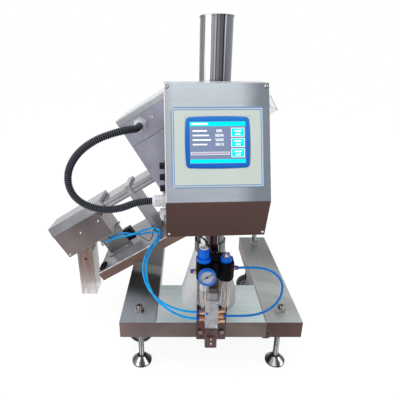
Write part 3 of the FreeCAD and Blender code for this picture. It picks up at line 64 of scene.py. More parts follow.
def operator(operation):
    """The method that adds the Math node of this operation."""
    return lambda value, other: value.worked(operation, value, other)


class Value:
    """A number in a shader. Each operator adds the Math node of its name."""
    __add__ = __radd__ = operator("ADD")
    __sub__ = operator("SUBTRACT")
    __mul__ = __rmul__ = operator("MULTIPLY")
    __truediv__ = operator("DIVIDE")
    __pow__ = operator("POWER")
    __gt__ = operator("GREATER_THAN")
    __lt__ = operator("LESS_THAN")

    def __init__(self, finish, socket):
        self.finish = finish
        self.socket = socket

    def worked(self, operation, *numbers, **settings):
        settings["operation"] = operation
        node = self.finish.node("ShaderNodeMath", settings, dict(enumerate(numbers)))
        return Value(self.finish, node.outputs[0])

    def __rsub__(self, other):
        return self.worked("SUBTRACT", other, self)

    def bounded(self):
        """The number held between 0 and 1."""
        return self.worked("ADD", self, 0.0, use_clamp=True)

    def wave(self):
        """The number's sine."""
        return self.worked("SINE", self)

    def size(self):
        """The number without its sign."""
        return self.worked("ABSOLUTE", self)

    def ramped(self, low, high):
        """0 below low, 1 above high and a smooth step between them."""
        node = self.finish.node("ShaderNodeMapRange", {"interpolation_type": "SMOOTHSTEP"},
                                {0: self, 1: low, 2: high})
        return Value(self.finish, node.outputs[0])


class Finish:
    """A material on one Principled shader. across, back and up are the point on the piece, in metres.
    node() takes a node's type, its settings and what its sockets are fed with, by name or by number.
    A colour is three display values."""

    def __init__(self, name, **sockets):
        self.material = bpy.data.materials.new(name)
        self.material.use_nodes = True
        self.tree = self.material.node_tree
        self.shader = self.tree.nodes["Principled BSDF"]
        self.across, self.back, self.up = self.coordinates("Object")
        self.wear(**sockets)

    def wear(self, **sockets):
        """Feeds the shader's sockets, named with underscores."""
        for name, value in sockets.items():
            self.feed(self.shader.inputs[name.replace("_", " ")], value)
        return self

    def feed(self, socket, value):
        if isinstance(value, Value):
            value = value.socket
        if isinstance(value, tuple) and len(value) == 3:
            value = display(*value)
        if isinstance(value, bpy.types.NodeSocket):
            self.tree.links.new(value, socket)
        else:
            socket.default_value = value

    def node(self, kind, settings, inputs):
        node = self.tree.nodes.new(kind)
        for name, value in settings.items():
            setattr(node, name, value)
        for name, value in inputs.items():
            self.feed(node.inputs[name], value)
        return node

    def mixed(self, amount, first, second):
        """A colour between two, by a number from 0 to 1."""
        return self.node("ShaderNodeMix", {"data_type": "RGBA"}, {0: amount, 6: first, 7: second}).outputs[2]

    def coordinates(self, kind):
        """The three numbers of one kind of texture coordinate."""
        source = self.node("ShaderNodeTexCoord", {}, {})
        parts = self.node("ShaderNodeSeparateXYZ", {}, {0: source.outputs[kind]})
        return [Value(self, socket) for socket in parts.outputs]

    def facing(self):
        """The direction that the surface faces, on the piece itself."""
        return self.coordinates("Normal")

    def noise(self, across, back=None, up=None, detail=3.0):
        """Noise on the piece at one scale, or at a scale for each direction."""
        back, up = back or across, up or across
        return self.noise_at(self.across * across, self.back * back, self.up * up, detail)

    def noise_at(self, first, second, third, detail=3.0):
        """Noise read at three numbers, each already scaled."""
        vector = self.node("ShaderNodeCombineXYZ", {}, {0: first, 1: second, 2: third})
        texture = self.node("ShaderNodeTexNoise", {},
                            {"Vector": vector.outputs[0], "Scale": 1.0, "Detail": detail})
        return Value(self, texture.outputs[0])

    def attribute(self, name):
        """What the mesh stores under a name."""
        return self.node("ShaderNodeAttribute", {"attribute_name": name}, {}).outputs

    def multiplied(self, colour, factor):
        """A colour times another, channel by channel."""
        return self.node("ShaderNodeMix", {"data_type": "RGBA", "blend_type": "MULTIPLY"},
                         {0: 1.0, 6: colour, 7: factor}).outputs[2]

    def banded(self, colour, where, bands, edges):
        """A colour with bands across it: each has its middle, half width, tone and depth. edges say
        at how many half widths a band begins and where it is full."""
        for middle, half, tone, depth in bands:
            amount = ((where - middle).size() / half).ramped(*edges)
            colour = self.mixed(amount * depth, colour, tone)
        return colour

    def raised(self, height, distance, strength=1.0):
        """Bump: the surface stands up by a number times a distance in metres."""
        bump = self.node("ShaderNodeBump", {},
                         {"Height": height, "Distance": distance, "Strength": strength})
        return self.wear(Normal=bump.outputs[0])


SEEING_RAYS = ("Is Camera Ray", "Is Glossy Ray", "Is Transmission Ray")


def seen_white(finish, brightness, share):
    """Adds white that only the camera, glossy and see-through rays find, over a share of the surface."""
    path = finish.node("ShaderNodeLightPath", {}, {})
    rays = [Value(finish, path.outputs[kind]) for kind in SEEING_RAYS]
    amount = (rays[0] + rays[1] + rays[2]).bounded() * share
    white = finish.node("ShaderNodeEmission", {}, {"Color": (1, 1, 1, 1), "Strength": brightness})
    mix = finish.node("ShaderNodeMixShader", {},
                      {0: amount, 1: finish.shader.outputs[0], 2: white.outputs[0]})
    finish.feed(finish.tree.nodes["Material Output"].inputs["Surface"], mix.outputs[0])


def placed(name, data):
    """A new object in the scene."""
    thing = bpy.data.objects.new(name, data)
    bpy.context.scene.collection.objects.link(thing)
    return thing


floor_mesh = bpy.data.meshes.new("studio_floor")
floor_mesh.from_pydata([(-9, -9, 0), (9, -9, 0), (9, 9, 0), (-9, 9, 0)], [], [(0, 1, 2, 3)])
studio_floor = placed("studio_floor", floor_mesh)
floor_paint = Finish("floor_paint", Base_Color=(0.84, 0.84, 0.85, 1), Roughness=0.9, Specular_IOR_Level=0.0)
seen_white(floor_paint, 1.12, 0.80)
floor_mesh.materials.append(floor_paint.material)

world = bpy.data.worlds.new("studio_surround")
bpy.context.scene.world = world
world.use_nodes = True
sky = world.node_tree
paths = sky.nodes.new("ShaderNodeLightPath").outputs
seen = paths[SEEING_RAYS[0]]
for kind in SEEING_RAYS[1:]:
    either = sky.nodes.new("ShaderNodeMath")
    either.operation = "MAXIMUM"
    sky.links.new(seen, either.inputs[0])
    sky.links.new(paths[kind], either.inputs[1])
    seen = either.outputs[0]
strength = sky.nodes.new("ShaderNodeMapRange")
sky.links.new(seen, strength.inputs["Value"])
strength.inputs["To Min"].default_value = 0.62
strength.inputs["To Max"].default_value = 1.0
background = sky.nodes["Background"].inputs
background["Color"].default_value = (1, 1, 1, 1)
sky.links.new(strength.outputs[0], background["Strength"])


def soft_lamp(name, at, towards, size, power):
    """A square area lamp that faces a point."""
    lamp = bpy.data.lights.new(name, "AREA")
    lamp.shape = "SQUARE"
    lamp.size = size
    lamp.energy = power
    holder = placed(name, lamp)
    holder.location = at
    aim = np.array(towards) - np.array(at)
    holder.rotation_euler = (
        math.atan2(math.hypot(aim[0], aim[1]), -aim[2]), 0, math.atan2(aim[1], aim[0]) - math.pi / 2)


soft_lamp("lamp_above", (-0.4, -0.6, 2.6), (0, 0, 0.4), 1.6, 16)
soft_lamp("lamp_left", (-2.2, -1.4, 1.3), (0, 0, 0.5), 1.2, 14)
soft_lamp("lamp_right", (2.2, -1.0, 1.6), (0, 0, 0.5), 1.2, 9)

camera = bpy.data.cameras.new("photograph")
camera.lens = 31.68
camera.sensor_width = 36
camera.shift_x = 0.04125
camera.clip_start = 0.02
viewer = placed("photograph", camera)
viewer.location = (-0.075, -0.885, 0.839)
viewer.rotation_euler = (math.radians(68.6), 0, 0)
bpy.context.scene.camera = viewer
bpy.context.scene.view_settings.view_transform = "Standard"


# Air tube: 6 mm translucent blue polyurethane, cut to length and pushed into fittings at both ends.
# One runs from the lubricator to the valve, two from the valve to the reject unit's air cylinder.
def smooth_line(name, route):
    """The points along a NURBS spline whose control points are the route, read from the curve."""
    curve = bpy.data.curves.new(name + "_line", "CURVE")
    curve.dimensions = "3D"
    curve.resolution_u = 16
    spline = curve.splines.new("NURBS")
    spline.points.add(len(route) - 1)
    control = np.ones((len(route), 4))
    control[:, :3] = np.array(route) / 1000
    spline.points.foreach_set("co", control.ravel())
    spline.order_u = 3
    spline.use_endpoint_u = True
    holder = placed(name + "_line", curve)
    line = bpy.data.meshes.new_from_object(holder)
    points = np.zeros(len(line.vertices) * 3)
    line.vertices.foreach_get("co", points)
    bpy.data.objects.remove(holder)
    bpy.data.meshes.remove(line)
    return points.reshape(-1, 3)


def evenly(points, step):
    """The same line with points a step apart: each coordinate is read off against the distance run."""
    run = np.concatenate([[0], np.cumsum(np.linalg.norm(np.diff(points, axis=0), axis=1))])
    where = np.linspace(0, run[-1], int(run[-1] / step) + 2)
    return np.stack([np.interp(where, run, points[:, axis]) for axis in range(3)], -1), where


TURN = 2 * np.pi


def along_line(points, radii, sides):
    """A round skin on a line: point + radius * (cos a * side + sin a * over), with side and over
    square to the line. Each side is the one before with its part along the line taken out."""
    ahead = np.gradient(points, axis=0)
    ahead /= np.linalg.norm(ahead, axis=1)[:, None]
    side = np.cross(ahead[0], (0.2, 0.9, -0.4))
    sides_taken = []
    for direction in ahead:
        side = side - direction * side.dot(direction)
        side = side / np.linalg.norm(side)
        sides_taken.append(side)
    across = np.array(sides_taken)
    over = np.cross(ahead, across)
    angle = np.linspace(0, TURN, sides + 1)[None, :, None]
    ring = np.cos(angle) * across[:, None] + np.sin(angle) * over[:, None]
    return points[:, None] + np.asarray(radii).reshape(-1, 1, 1) * ring


def piece(name, grids, finish, body=None, flat=False, painted_sheen=None):
    """One mesh of one or more grids of points. In a grid each point joins the next one along and
    across with a quad. Points that coincide are merged, which closes seams and poles, and the faces
    are turned outwards. The last argument gives each point a number that the finish can read; the
    conduit uses it for the painted highlight on its rib crests."""
    corners = []
    quads = []
    count = 0
    for grid in grids:
        rows, columns = grid.shape[:2]
        index = count + np.arange(rows * columns).reshape(rows, columns)
        faces = np.stack([index[:-1, :-1], index[:-1, 1:], index[1:, 1:], index[1:, :-1]], -1)
        quads.append(faces.reshape(-1, 4))
        corners.append(grid.reshape(-1, 3))
        count += rows * columns
    mesh = bpy.data.meshes.new(name)
    mesh.from_pydata(np.concatenate(corners), [], np.concatenate(quads))
    if painted_sheen is not None:
        mesh.attributes.new("painted_sheen", "FLOAT", "POINT").data.foreach_set("value", painted_sheen)
    shell = bmesh.new()
    shell.from_mesh(mesh)
    bmesh.ops.remove_doubles(shell, verts=shell.verts, dist=2e-6)
    bmesh.ops.recalc_face_normals(shell, faces=shell.faces)
    for face in shell.faces:
        face.smooth = not flat
    shell.to_mesh(mesh)
    shell.free()
    mesh.materials.append(finish.material)
    thing = placed(name, mesh)
    if body:
        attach(thing, body)
    return thing


def end_caps(skin):
    """The flat ends of a tube: its first and last rings drawn in to their middle points."""
    caps = []
    for ring in (skin[0], skin[-1]):
        middle = ring[:-1].mean(axis=0)
        caps.append(np.stack([ring, np.broadcast_to(middle, ring.shape)]))
    return caps


def tube_along(name, route, step, diameter, sides, finish, body=None):
    """A round tube along a route, with closed ends: the piece, its line and the distance run."""
    line, run = evenly(smooth_line(name, route), step)
    skin = along_line(line, np.full(len(line), diameter / 2), sides)
    return piece(name, [skin, *end_caps(skin)], finish, body), line, float(run[-1])


blue_tube = Finish("air_tube", Roughness=0.3, Specular_IOR_Level=0.15)
tube_blue = blue_tube.mixed(blue_tube.noise(30).ramped(0.3, 0.7), (2, 146, 226), (24, 186, 254))
tube_shade = blue_tube.across.ramped(-0.02, 0.06)
blue_tube.wear(Base_Color=blue_tube.mixed(tube_shade, tube_blue, (2, 118, 204)))
blue_tube.raised(blue_tube.noise(900), 0.00002)

AIR_TUBE = 0.006
TUBE_ROUTES = {
    "supply_line": [
        (55.7, -158.7, 380), (90, -158, 381), (126, -155, 375), (155, -152, 356), (171, -149, 327),
        (173, -146, 296), (165, -143, 266), (144, -139, 238), (116, -134, 221), (80, -132.3, 215),
        (36.2, -132.3, 216)],
    "extend_tube_lower": [
        (-40.2, -132.3, 228), (-71, -132.3, 230), (-107, -129, 240), (-139, -113, 249), (-167, -88, 263),
        (-184, -62, 284), (-189, -36, 307), (-186, -23, 318)],
    "retract_tube_lower": [
        (-40.2, -132.3, 207), (-71, -132.3, 209), (-103, -131, 226), (-133, -120, 241), (-158, -97, 257),
        (-175, -68, 280), (-180, -41, 305), (-178, -28, 316)],
    "extend_tube_upper": [
        (-186, -23, 318), (-183, -10, 329), (-170, 14, 342), (-155, 40, 349), (-150, 68, 353),
        (-162, 89, 351), (-184, 100, 345), (-208, 104, 336), (-240, 110, 334), (-264, 114, 336),
        (-285.7, 116, 330), (-308.8, 116, 316.1)],
    "retract_tube_upper": [
        (-178, -28, 316), (-176, -15, 327), (-163, 8, 340), (-148, 35, 350), (-143, 64, 361), (-154, 86, 366),
        (-179, 95, 362), (-207, 94, 351), (-239, 96, 337), (-271, 102, 328), (-301.2, 106, 318.4),
        (-324.9, 106, 304.1)],
}
LINE_STEP = 0.003
for name, route in TUBE_ROUTES.items():
    tube, line, length = tube_along(name, route, LINE_STEP, AIR_TUBE, 20, blue_tube)
    if name == "supply_line":
        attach(tube, "base")
    elif name.endswith("lower"):
        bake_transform(tube)
    else:
        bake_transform(tube)
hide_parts("supply_tube")
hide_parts("reject_tubes_lower")
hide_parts("reject_tubes_upper")


# Conduit: black corrugated polyamide hose of 18.5 mm, with the head's cables inside. It leaves the
# head's gland, bends back under its own weight in one loop and ends in the control box's gland.
CONDUIT_ROUTE = [
    (-188.2, 23.9, 686), (-188.2, -16, 686), (-205, -51, 691), (-238, -73, 686), (-279, -81, 672),
    (-317, -81, 646), (-342, -78, 615), (-354, -76, 585), (-354, -77, 554), (-339, -81, 527),
    (-308, -86, 508), (-268, -93, 502), (-226, -99.5, 509), (-184, -104.1, 529), (-149.5, -102.3, 530)]
CONDUIT = 0.0185
RIB_PITCH = 0.0050
RIB_DEPTH = 0.0016
conduit_line, conduit_run = evenly(smooth_line("conduit", CONDUIT_ROUTE), RIB_PITCH / 7)
rib = np.clip(0.5 + 0.85 * np.cos(TURN * conduit_run / RIB_PITCH), 0, 1)
conduit_skin = along_line(conduit_line, CONDUIT / 2 - RIB_DEPTH * (1 - rib), 24)
hose = Finish("conduit_plastic", Roughness=0.36, Specular_IOR_Level=0.22)
# The rib crests are lightened towards grey: a painted highlight on each rib.
crest_highlight = Value(hose, hose.attribute("painted_sheen")["Fac"])
hose_black = hose.mixed(hose.noise(25), (4, 4, 6), (16, 17, 22))
hose.wear(Base_Color=hose.mixed(crest_highlight ** 5 * 0.75, hose_black, (96, 101, 118)))
hose.raised(hose.noise(1500), 0.00003)
around = conduit_skin.shape[1]
conduit_painted_sheen = np.concatenate([np.repeat(rib, around), np.zeros(4 * around)])
conduit = piece("conduit_hose", [conduit_skin, *end_caps(conduit_skin)], hose,
                painted_sheen=conduit_painted_sheen)
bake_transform(conduit)
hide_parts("conduit")


# Base: two closed box rails of brushed stainless sheet and a folded cross beam between them. Their
# tops take painted light and painted reflections in bands, and the sides a painted reflection of a
# brown surround.
def dress(finish, *names):
    """Gives a material to CAD pieces."""
    for name in names:
        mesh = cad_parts[name].data
        mesh.materials.clear()
        mesh.materials.append(finish.material)


def brushed_sheet(name, side, top=None, lean=0.0, grain="along", metallic=0.62, roughness=0.36,
                  dusk=None, bands=()):
    """Brushed sheet. The place is turned by the sheet's lean, and noise is drawn out along the
    grain for the streaks. Slow noise clouds the tint and the gloss. Faces that look up take the
    top's colour, which is painted light on the tops; the side colour carries any painted reflection
    of the surround. dusk is a painted shade: it names an axis, where the shade starts and ends along
    it, and its depth. bands are painted reflections in streaks across the top: middle, half width,
    colour and depth."""
    finish = Finish(name)
    if lean:
        slope, rise = math.cos(math.radians(lean)), math.sin(math.radians(lean))
        finish.across, finish.up = (finish.across * slope + finish.up * rise,
                                    finish.up * slope - finish.across * rise)
    fine, coarse = 1400, 14
    scales = {"along": (coarse, fine, fine), "back": (fine, coarse, fine), "up": (fine, fine, coarse)}[grain]
    streaks = finish.noise(*scales, detail=2.0)
    wide = finish.noise(*(scale * 0.15 for scale in scales), detail=2.0)
    clouds = finish.noise(7)

    def clouded(tint, dark, light, most):
        dark, light = np.array(tint) * dark, np.minimum(np.array(tint) * light, most)
        return finish.mixed(clouds.ramped(0.25, 0.75), tuple(dark), tuple(light))

    colour = clouded(side, 0.86, 1.16, 250)
    shine = metallic
    # Painted light: faces that look up take the top's colour, with painted reflections in bands.
    if top is not None:
        facing_up = finish.facing()[2].ramped(0.45, 0.85)
        swung = finish.back + finish.across * 0.35 + (clouds - 0.5) * 0.06
        light = finish.banded(clouded(top, 0.92, 1.07, 252), swung, bands, (1.3, 0.5))
        colour = finish.mixed(facing_up, colour, light)
        shine = metallic - facing_up * min(0.5, metallic)
    # Painted shade along one axis.
    if dusk:
        axis, first, last, depth = dusk
        shade = ((finish.across, finish.back, finish.up)[axis] + (clouds - 0.5) * 0.05).ramped(first, last)
        colour = finish.mixed(shade * depth, colour, (44, 42, 44))
    brush = (streaks * 0.55 + wide * 0.45).ramped(0.3, 0.7)
    colour = finish.multiplied(colour, finish.mixed(brush, (0.84, 0.84, 0.85, 1), (1, 1, 1, 1)))
    finish.wear(Base_Color=colour, Metallic=shine, Roughness=clouds * 0.12 + brush * 0.08 + (roughness - 0.1))
    finish.raised(streaks, 0.00003, 0.6)
    return finish


# Painted light: the top colours and bands below are painted light and reflections, and the brown sides a
# painted reflection.
dress(brushed_sheet("rail_left_steel", (116, 100, 98), (92, 98, 106), grain="back", bands=(
    (-0.22, 0.15, (176, 182, 188), 0.9), (0.0, 0.065, (38, 40, 44), 0.8),
    (0.088, 0.03, (198, 204, 198), 0.7))), "rail_left")
dress(brushed_sheet("rail_right_steel", (84, 62, 56), (186, 190, 190), grain="back", bands=(
    (0.46, 0.24, (86, 88, 88), 0.75), (0.10, 0.03, (214, 218, 216), 0.5))), "rail_right")
dress(brushed_sheet("beam_steel", (112, 98, 94), (230, 255, 255)), "cross_beam")


# Weld beads: the beam's ends are welded to the rails on top and in front, and each bead is ground
# nearly flat.
def turned(profile, centre, axis, count=32):
    """A profile of radius and height carried round an axis:
    centre + height * axis + radius * (cos a * side + sin a * over). The last ring meets the first."""
    radius, height = np.array(profile, float).T
    axis = np.array(axis, float) / np.linalg.norm(axis)
    side = np.cross(axis, (0.31, 0.52, 0.79))
    side /= np.linalg.norm(side)
    over = np.cross(axis, side)
    angle = np.linspace(0, TURN, count + 1)[:, None, None]
    ring = np.cos(angle) * side + np.sin(angle) * over
    return np.array(centre, float) + height[None, :, None] * axis + radius[None, :, None] * ring


WELD = 0.0011


def bead(first, last):
    """A weld bead between two points. Its radius swells by a tenth every 3 mm and tapers at both ends."""
    first, last = np.array(first), np.array(last)
    length = np.linalg.norm(last - first)
    run = np.linspace(0, 1, int(length / 0.0006))
    taper = np.minimum(1, 40 * run * (1 - run) + 0.05)
    ripples = 1 + 0.1 * np.cos(TURN * run * length / 0.003)
    return along_line(first + (last - first) * run[:, None], WELD * ripples * taper, 10)


(_, beam_front, _), (_, beam_rear, beam_top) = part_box("cross_beam")
weld_beads = []
for across in (-0.15, 0.15):
    weld_beads += [bead((across, beam_front + 0.003, beam_top), (across, beam_rear - 0.003, beam_top)),
                   bead((across, beam_front, 0.133), (across, beam_front, 0.177))]
piece("beam_welds", weld_beads, brushed_sheet("weld_steel", (128, 122, 122), roughness=0.5),
      "base")


# Earth screw hole: a small blind hole with a turned rim in the front of the right rail, where an earth
# wire can be screwed on.
hole_rim = Finish("hole_rim", Roughness=0.5, Metallic=0.4)
hole_rim.wear(Base_Color=hole_rim.mixed(hole_rim.noise(800), (22, 20, 22), (52, 46, 46)))
FORWARD = (0, -1, 0)
piece("earth_hole", [turned(
    [(0, 0.0004), (0.0022, 0.0004), (0.0026, 0.0011), (0.0034, 0.0011), (0.0038, 0)],
    (0.1575, beam_front + 0.0002, 0.142), FORWARD, 24)], hole_rim, "base")


# Levelling feet: turned studs with a rolled M16 thread on polished steel pads with a rubber sole, and
# hexagon lock nuts on the rails. The studs and pads carry painted reflections and highlights in
# upright bands, and the nuts a painted shade on the side that faces right.
foot = Finish("foot_pad_and_stud", Metallic=0.75)
SOLE = 0.0042
THREAD_PITCH = 0.002
THREAD_FOOT = 0.06
foot_cloud = foot.noise(60)
foot_grain = foot.noise(900)
# Painted reflections and highlights: dark and light bands by the way each face turns.
foot_reflection_side = foot.facing()[0] + (foot_cloud - 0.5) * 0.3
foot_metal_with_reflections = foot.mixed(foot_cloud, (108, 106, 108), (142, 141, 143))
foot_metal_with_reflections = foot.banded(foot_metal_with_reflections, foot_reflection_side, (
    (-0.85, 0.2, (58, 56, 58), 1), (-0.25, 0.1, (222, 221, 222), 1), (0.1, 0.12, (70, 68, 70), 1),
    (0.42, 0.12, (230, 230, 231), 1), (0.72, 0.1, (62, 60, 62), 1)), (1.4, 0.6))
is_sole = foot.up < SOLE
foot.wear(Base_Color=foot.mixed(is_sole, foot_metal_with_reflections, (54, 52, 56)),
          Roughness=foot_grain * 0.12 + is_sole * 0.4 + 0.16)
thread = (foot.up * (TURN / THREAD_PITCH)).wave() * (foot.up > THREAD_FOOT)
foot.raised(thread * 0.6 + foot_grain * 0.05, 0.0005)
feet = ["foot_front_left", "foot_front_right", "foot_rear_left", "foot_rear_right"]
dress(foot, *feet)


def middle_of(name):
    """The middle of a CAD piece's box."""
    return np.mean(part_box(name), axis=0)


def plated(name, dark, light, roughness=0.3, metallic=0.85):
    """Plated or turned metal: fine noise and slow clouds between two tints, with light pitting."""
    finish = Finish(name, Metallic=metallic)
    clouds = finish.noise(60)
    grain = finish.noise(1100)
    finish.wear(Base_Color=finish.mixed((clouds * 0.7 + grain * 0.3).ramped(0.3, 0.7), dark, light),
                Roughness=clouds * 0.15 + (roughness - 0.07))
    return finish.raised(grain, 0.00004)


zinc = plated("zinc_plate", (140, 140, 146), (214, 214, 218), metallic=0.6)
nut_steel = Finish("lock_nut_steel", Metallic=0.4, Roughness=0.3)
nut_shaded_side = nut_steel.facing()[0].ramped(-0.5, 0.5)
nut_grain = nut_steel.noise(700)
nut_light = nut_steel.mixed(nut_grain, (190, 188, 184), (232, 230, 226))
# Painted shade: faces turned to the right are dark, the others light.
nut_steel.wear(Base_Color=nut_steel.mixed(nut_shaded_side, nut_light, (66, 63, 63)))
nut_steel.raised(nut_grain, 0.0001)
dress(nut_steel, "foot_lock_nuts")
UP = (0, 0, 1)
RAIL_TOP = 0.1802
piece("foot_washers", [turned(
    [(0.0085, 0), (0.0155, 0), (0.0155, 0.0012), (0.0150, 0.0016), (0.0085, 0.0016), (0.0085, 0)],
    (*middle_of(name)[:2], RAIL_TOP), UP, 40) for name in feet], zinc, "base")


# Casters: pressed zinc-plated forks that turn on a kingpin under their plates, and wheels with a
# grey rubber tread on a plastic core.
caster_zinc = plated("caster_zinc", (92, 92, 98), (158, 158, 164), roughness=0.38)
dress(caster_zinc, "caster_plates")
TREAD_INSIDE = 0.0255
HUB_FACE = 0.0195
for spot, axle in (("front_left", 1), ("front_right", 0), ("rear_left", 0), ("rear_right", 1)):
    hub = middle_of("caster_wheel_" + spot)
    wheel = Finish("wheel_" + spot)
    wheel.across, wheel.back, wheel.up = wheel.across - hub[0], wheel.back - hub[1], wheel.up - hub[2]
    out = ((wheel.across if axle else wheel.back) ** 2 + wheel.up ** 2) ** 0.5
    tread = out.ramped(TREAD_INSIDE, TREAD_INSIDE + 0.0007)
    dust = wheel.noise(180)
    rubber = wheel.mixed(dust, (26, 24, 26), (52, 49, 52))
    core = wheel.mixed(dust, (132, 134, 140), (178, 180, 186))
    spokes = ((out > 0.0125) * (out < 0.022)) * 0.5
    wheel.wear(Base_Color=wheel.mixed(tread, wheel.mixed(spokes, core, (70, 71, 76)), rubber),
               Roughness=dust * 0.2 + 0.45)
    wheel.raised(dust, 0.0002)
    dress(wheel, "caster_wheel_" + spot)
    dress(caster_zinc, "caster_fork_" + spot)
    along = np.eye(3)[axle]
    caps = [turned([(0, 0.0032), (0.004, 0.003), (0.0062, 0.002), (0.0066, 0)],
                   hub + along * way * HUB_FACE, along * way, 24) for way in (-1, 1)]
    piece("axle_caps_" + spot, caps, zinc, "caster_fork_" + spot)


# Mast: a polished stainless tube with a pressed cap. Drawn lines run along it. Its colour holds
# painted reflections of the machine's dark rear and pale front in upright bands and streaks, and a
# painted brown reflection below the box. The cap has a painted lighter top.
BELOW_BOX = 0.47
mast = Finish("mast_polish", Metallic=0.35, Specular_IOR_Level=0.3)
bearing = mast.across.worked("ARCTAN2", mast.across, mast.back * -1)
drawn = mast.noise(1300, 1300, 6, detail=2.0)
seen_from = bearing + (mast.noise(40, 40, 5) * 0.16 - 0.08)
# Painted reflections: streaks and bands by the bearing round the mast.
reflection_streaks = mast.noise_at(seen_from * 9, mast.up * 1.2, 0.0).ramped(0.35, 0.65)
mirrored = mast.mixed(reflection_streaks, (104, 102, 108), (160, 158, 164))
mirrored = mast.mixed(seen_from.ramped(-0.15, 0.25), mirrored,
                      mast.mixed(reflection_streaks, (66, 68, 74), (108, 110, 116)))
# Painted brown reflection below the box.
mirrored = mast.mixed(mast.up < BELOW_BOX, mirrored, (74, 50, 46))
mirrored = mast.banded(mirrored, seen_from, (
    (0.36, 0.04, (12, 16, 22), 1), (0.48, 0.035, (170, 176, 180), 1), (-0.62, 0.2, (250, 251, 252), 1),
    (-0.30, 0.03, (176, 166, 170), 1), (-0.14, 0.04, (186, 180, 184), 1), (-0.05, 0.03, (88, 86, 90), 1),
    (-1.2, 0.24, (116, 116, 120), 1), (0.95, 0.3, (118, 122, 128), 1), (1.35, 0.12, (182, 184, 186), 1)),
    (1.25, 0.75))
mast.wear(Base_Color=mirrored, Roughness=drawn * 0.12 + 0.14)
mast.raised(drawn, 0.00002)
dress(mast, "mast_tube", "mast_collar")
piece("mast_cap", [turned(
    [(0.0372, 0.9332), (0.0392, 0.9334), (0.0394, 0.9352), (0.0375, 0.9362), (0.02, 0.9372), (0, 0.9376)],
    (0, 0, 0), UP, 72)], brushed_sheet("mast_cap_steel", (132, 124, 124), (186, 186, 190), roughness=0.28),
    "base")

# The cone is given a near-white, non-metal colour that stands in for its bright reflection, and a painted
# shade that deepens towards its right side.
foot_cone = brushed_sheet("mast_foot_steel", (252, 253, 255), grain="up", metallic=0.0, roughness=0.5,
                          dusk=(0, 0.005, 0.05, 0.4))
dress(foot_cone, "mast_foot")
CONE_WELD = 0.0808
angle = np.linspace(0, TURN, 720)
ring = np.stack([CONE_WELD * np.cos(angle), CONE_WELD * np.sin(angle),
                 np.full(720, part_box("mast_foot")[0][2] + 0.0006)], -1)
ripples = 1 + 0.15 * np.cos(angle * 150)
piece("mast_foot_weld", [along_line(ring, WELD * ripples, 10)], foot_cone, "base")


# Front plate: a thick stainless plate that is screwed to the beam and carries the air set and the
# valve. Its brown is a painted reflection of a brown surround.
dress(brushed_sheet("front_plate_steel", (88, 70, 70), grain="up"), "valve_plate")
bright_screw = plated("bright_screw", (176, 176, 178), (236, 236, 238), roughness=0.2)
# The plate screws' dark brown is a painted reflection of a brown surround.
dress(plated("plate_screw_steel", (92, 78, 74), (140, 124, 120), roughness=0.3), "plate_screws")


# Air set: black die-cast filter and lubricator bodies, clear bowls with their float and pick-up
# tube inside, blue rings and a fluted knob.
def moulded(name, dark, light, roughness=0.42, coat=0.0, mirror=0.25):
    """Moulded plastic or paint: a fine leathery bump and slow clouds between two tints."""
    finish = Finish(name, Coat_Weight=coat, Coat_Roughness=0.15, Specular_IOR_Level=mirror)
    clouds = finish.noise(35)
    skin = finish.noise(700)
    finish.wear(Base_Color=finish.mixed(clouds.ramped(0.3, 0.7), dark, light),
                Roughness=skin * 0.1 + clouds * 0.1 + (roughness - 0.1))
    return finish.raised(skin, 0.00008)


blue_plastic = moulded("blue_plastic", (0, 84, 206), (16, 118, 236), roughness=0.3, mirror=0.18)
white_plastic = moulded("white_plastic", (212, 216, 222), (240, 242, 244), roughness=0.4)
black_plastic = moulded("black_plastic", (8, 8, 12), (24, 24, 30), roughness=0.4, mirror=0.12)
dress(moulded("black_cast", (3, 3, 6), (11, 11, 15), roughness=0.4, mirror=0.05),
      "filter_body", "lubricator_body", "frl_bracket")
dress(blue_plastic, "frl_rings")

bowl = Finish("bowl_clear", Roughness=0.06, Specular_IOR_Level=0.8)
# Painted highlights and reflections: the bowls' white and brown upright streaks, which also set where the
# bowl is less clear.
bowl_highlight_streaks = bowl.noise(420, 420, 12, detail=2.0)
bowl_haze = bowl.noise(60, 60, 30)
bowl.wear(Base_Color=bowl.mixed(bowl_highlight_streaks.ramped(0.42, 0.58), (110, 92, 88), (240, 240, 240)),
          Alpha=bowl_highlight_streaks.ramped(0.5, 0.66) * 0.4 + bowl_haze * 0.14 + 0.06)
dress(bowl, "frl_bowls")

filter_axis = middle_of("filter_body")[:2]
lubricator_axis = middle_of("lubricator_body")[:2]
red_plastic = moulded("red_plastic", (176, 72, 74), (204, 104, 100))
brass = plated("brass", (150, 112, 58), (206, 168, 104), roughness=0.26)
for name, axis, finish, slot, count, profile in (
        ("filter_float", filter_axis, red_plastic, "blue_plastic", 24,
         [(0, 0.283), (0.0048, 0.284), (0.0052, 0.292), (0.003, 0.298), (0.0018, 0.299), (0.0018, 0.335),
          (0, 0.335)]),
        ("filter_element", filter_axis, white_plastic, "white_plastic", 40,
         [(0, 0.318), (0.0085, 0.318), (0.0092, 0.322), (0.0085, 0.326), (0.0092, 0.330), (0.0085, 0.334),
          (0.0092, 0.338), (0.0085, 0.342), (0.0092, 0.346), (0.0085, 0.350), (0, 0.350)]),
        ("lubricator_pickup", lubricator_axis, brass, "brass", 24,
         [(0, 0.281), (0.0032, 0.281), (0.0032, 0.288), (0.0014, 0.290), (0.0014, 0.345), (0.0055, 0.346),
          (0.0055, 0.353), (0, 0.353)]),
        ("sight_feed", lubricator_axis, bright_screw, "polished_steel", 24,
         [(0, 0.4095), (0.0042, 0.4095), (0.0042, 0.4125), (0.0012, 0.4135), (0.0012, 0.417),
          (0.0026, 0.4175), (0.002, 0.4195), (0, 0.4195)])):
    piece(name, [turned(profile, (*axis, 0), UP, count)], finish, "base")


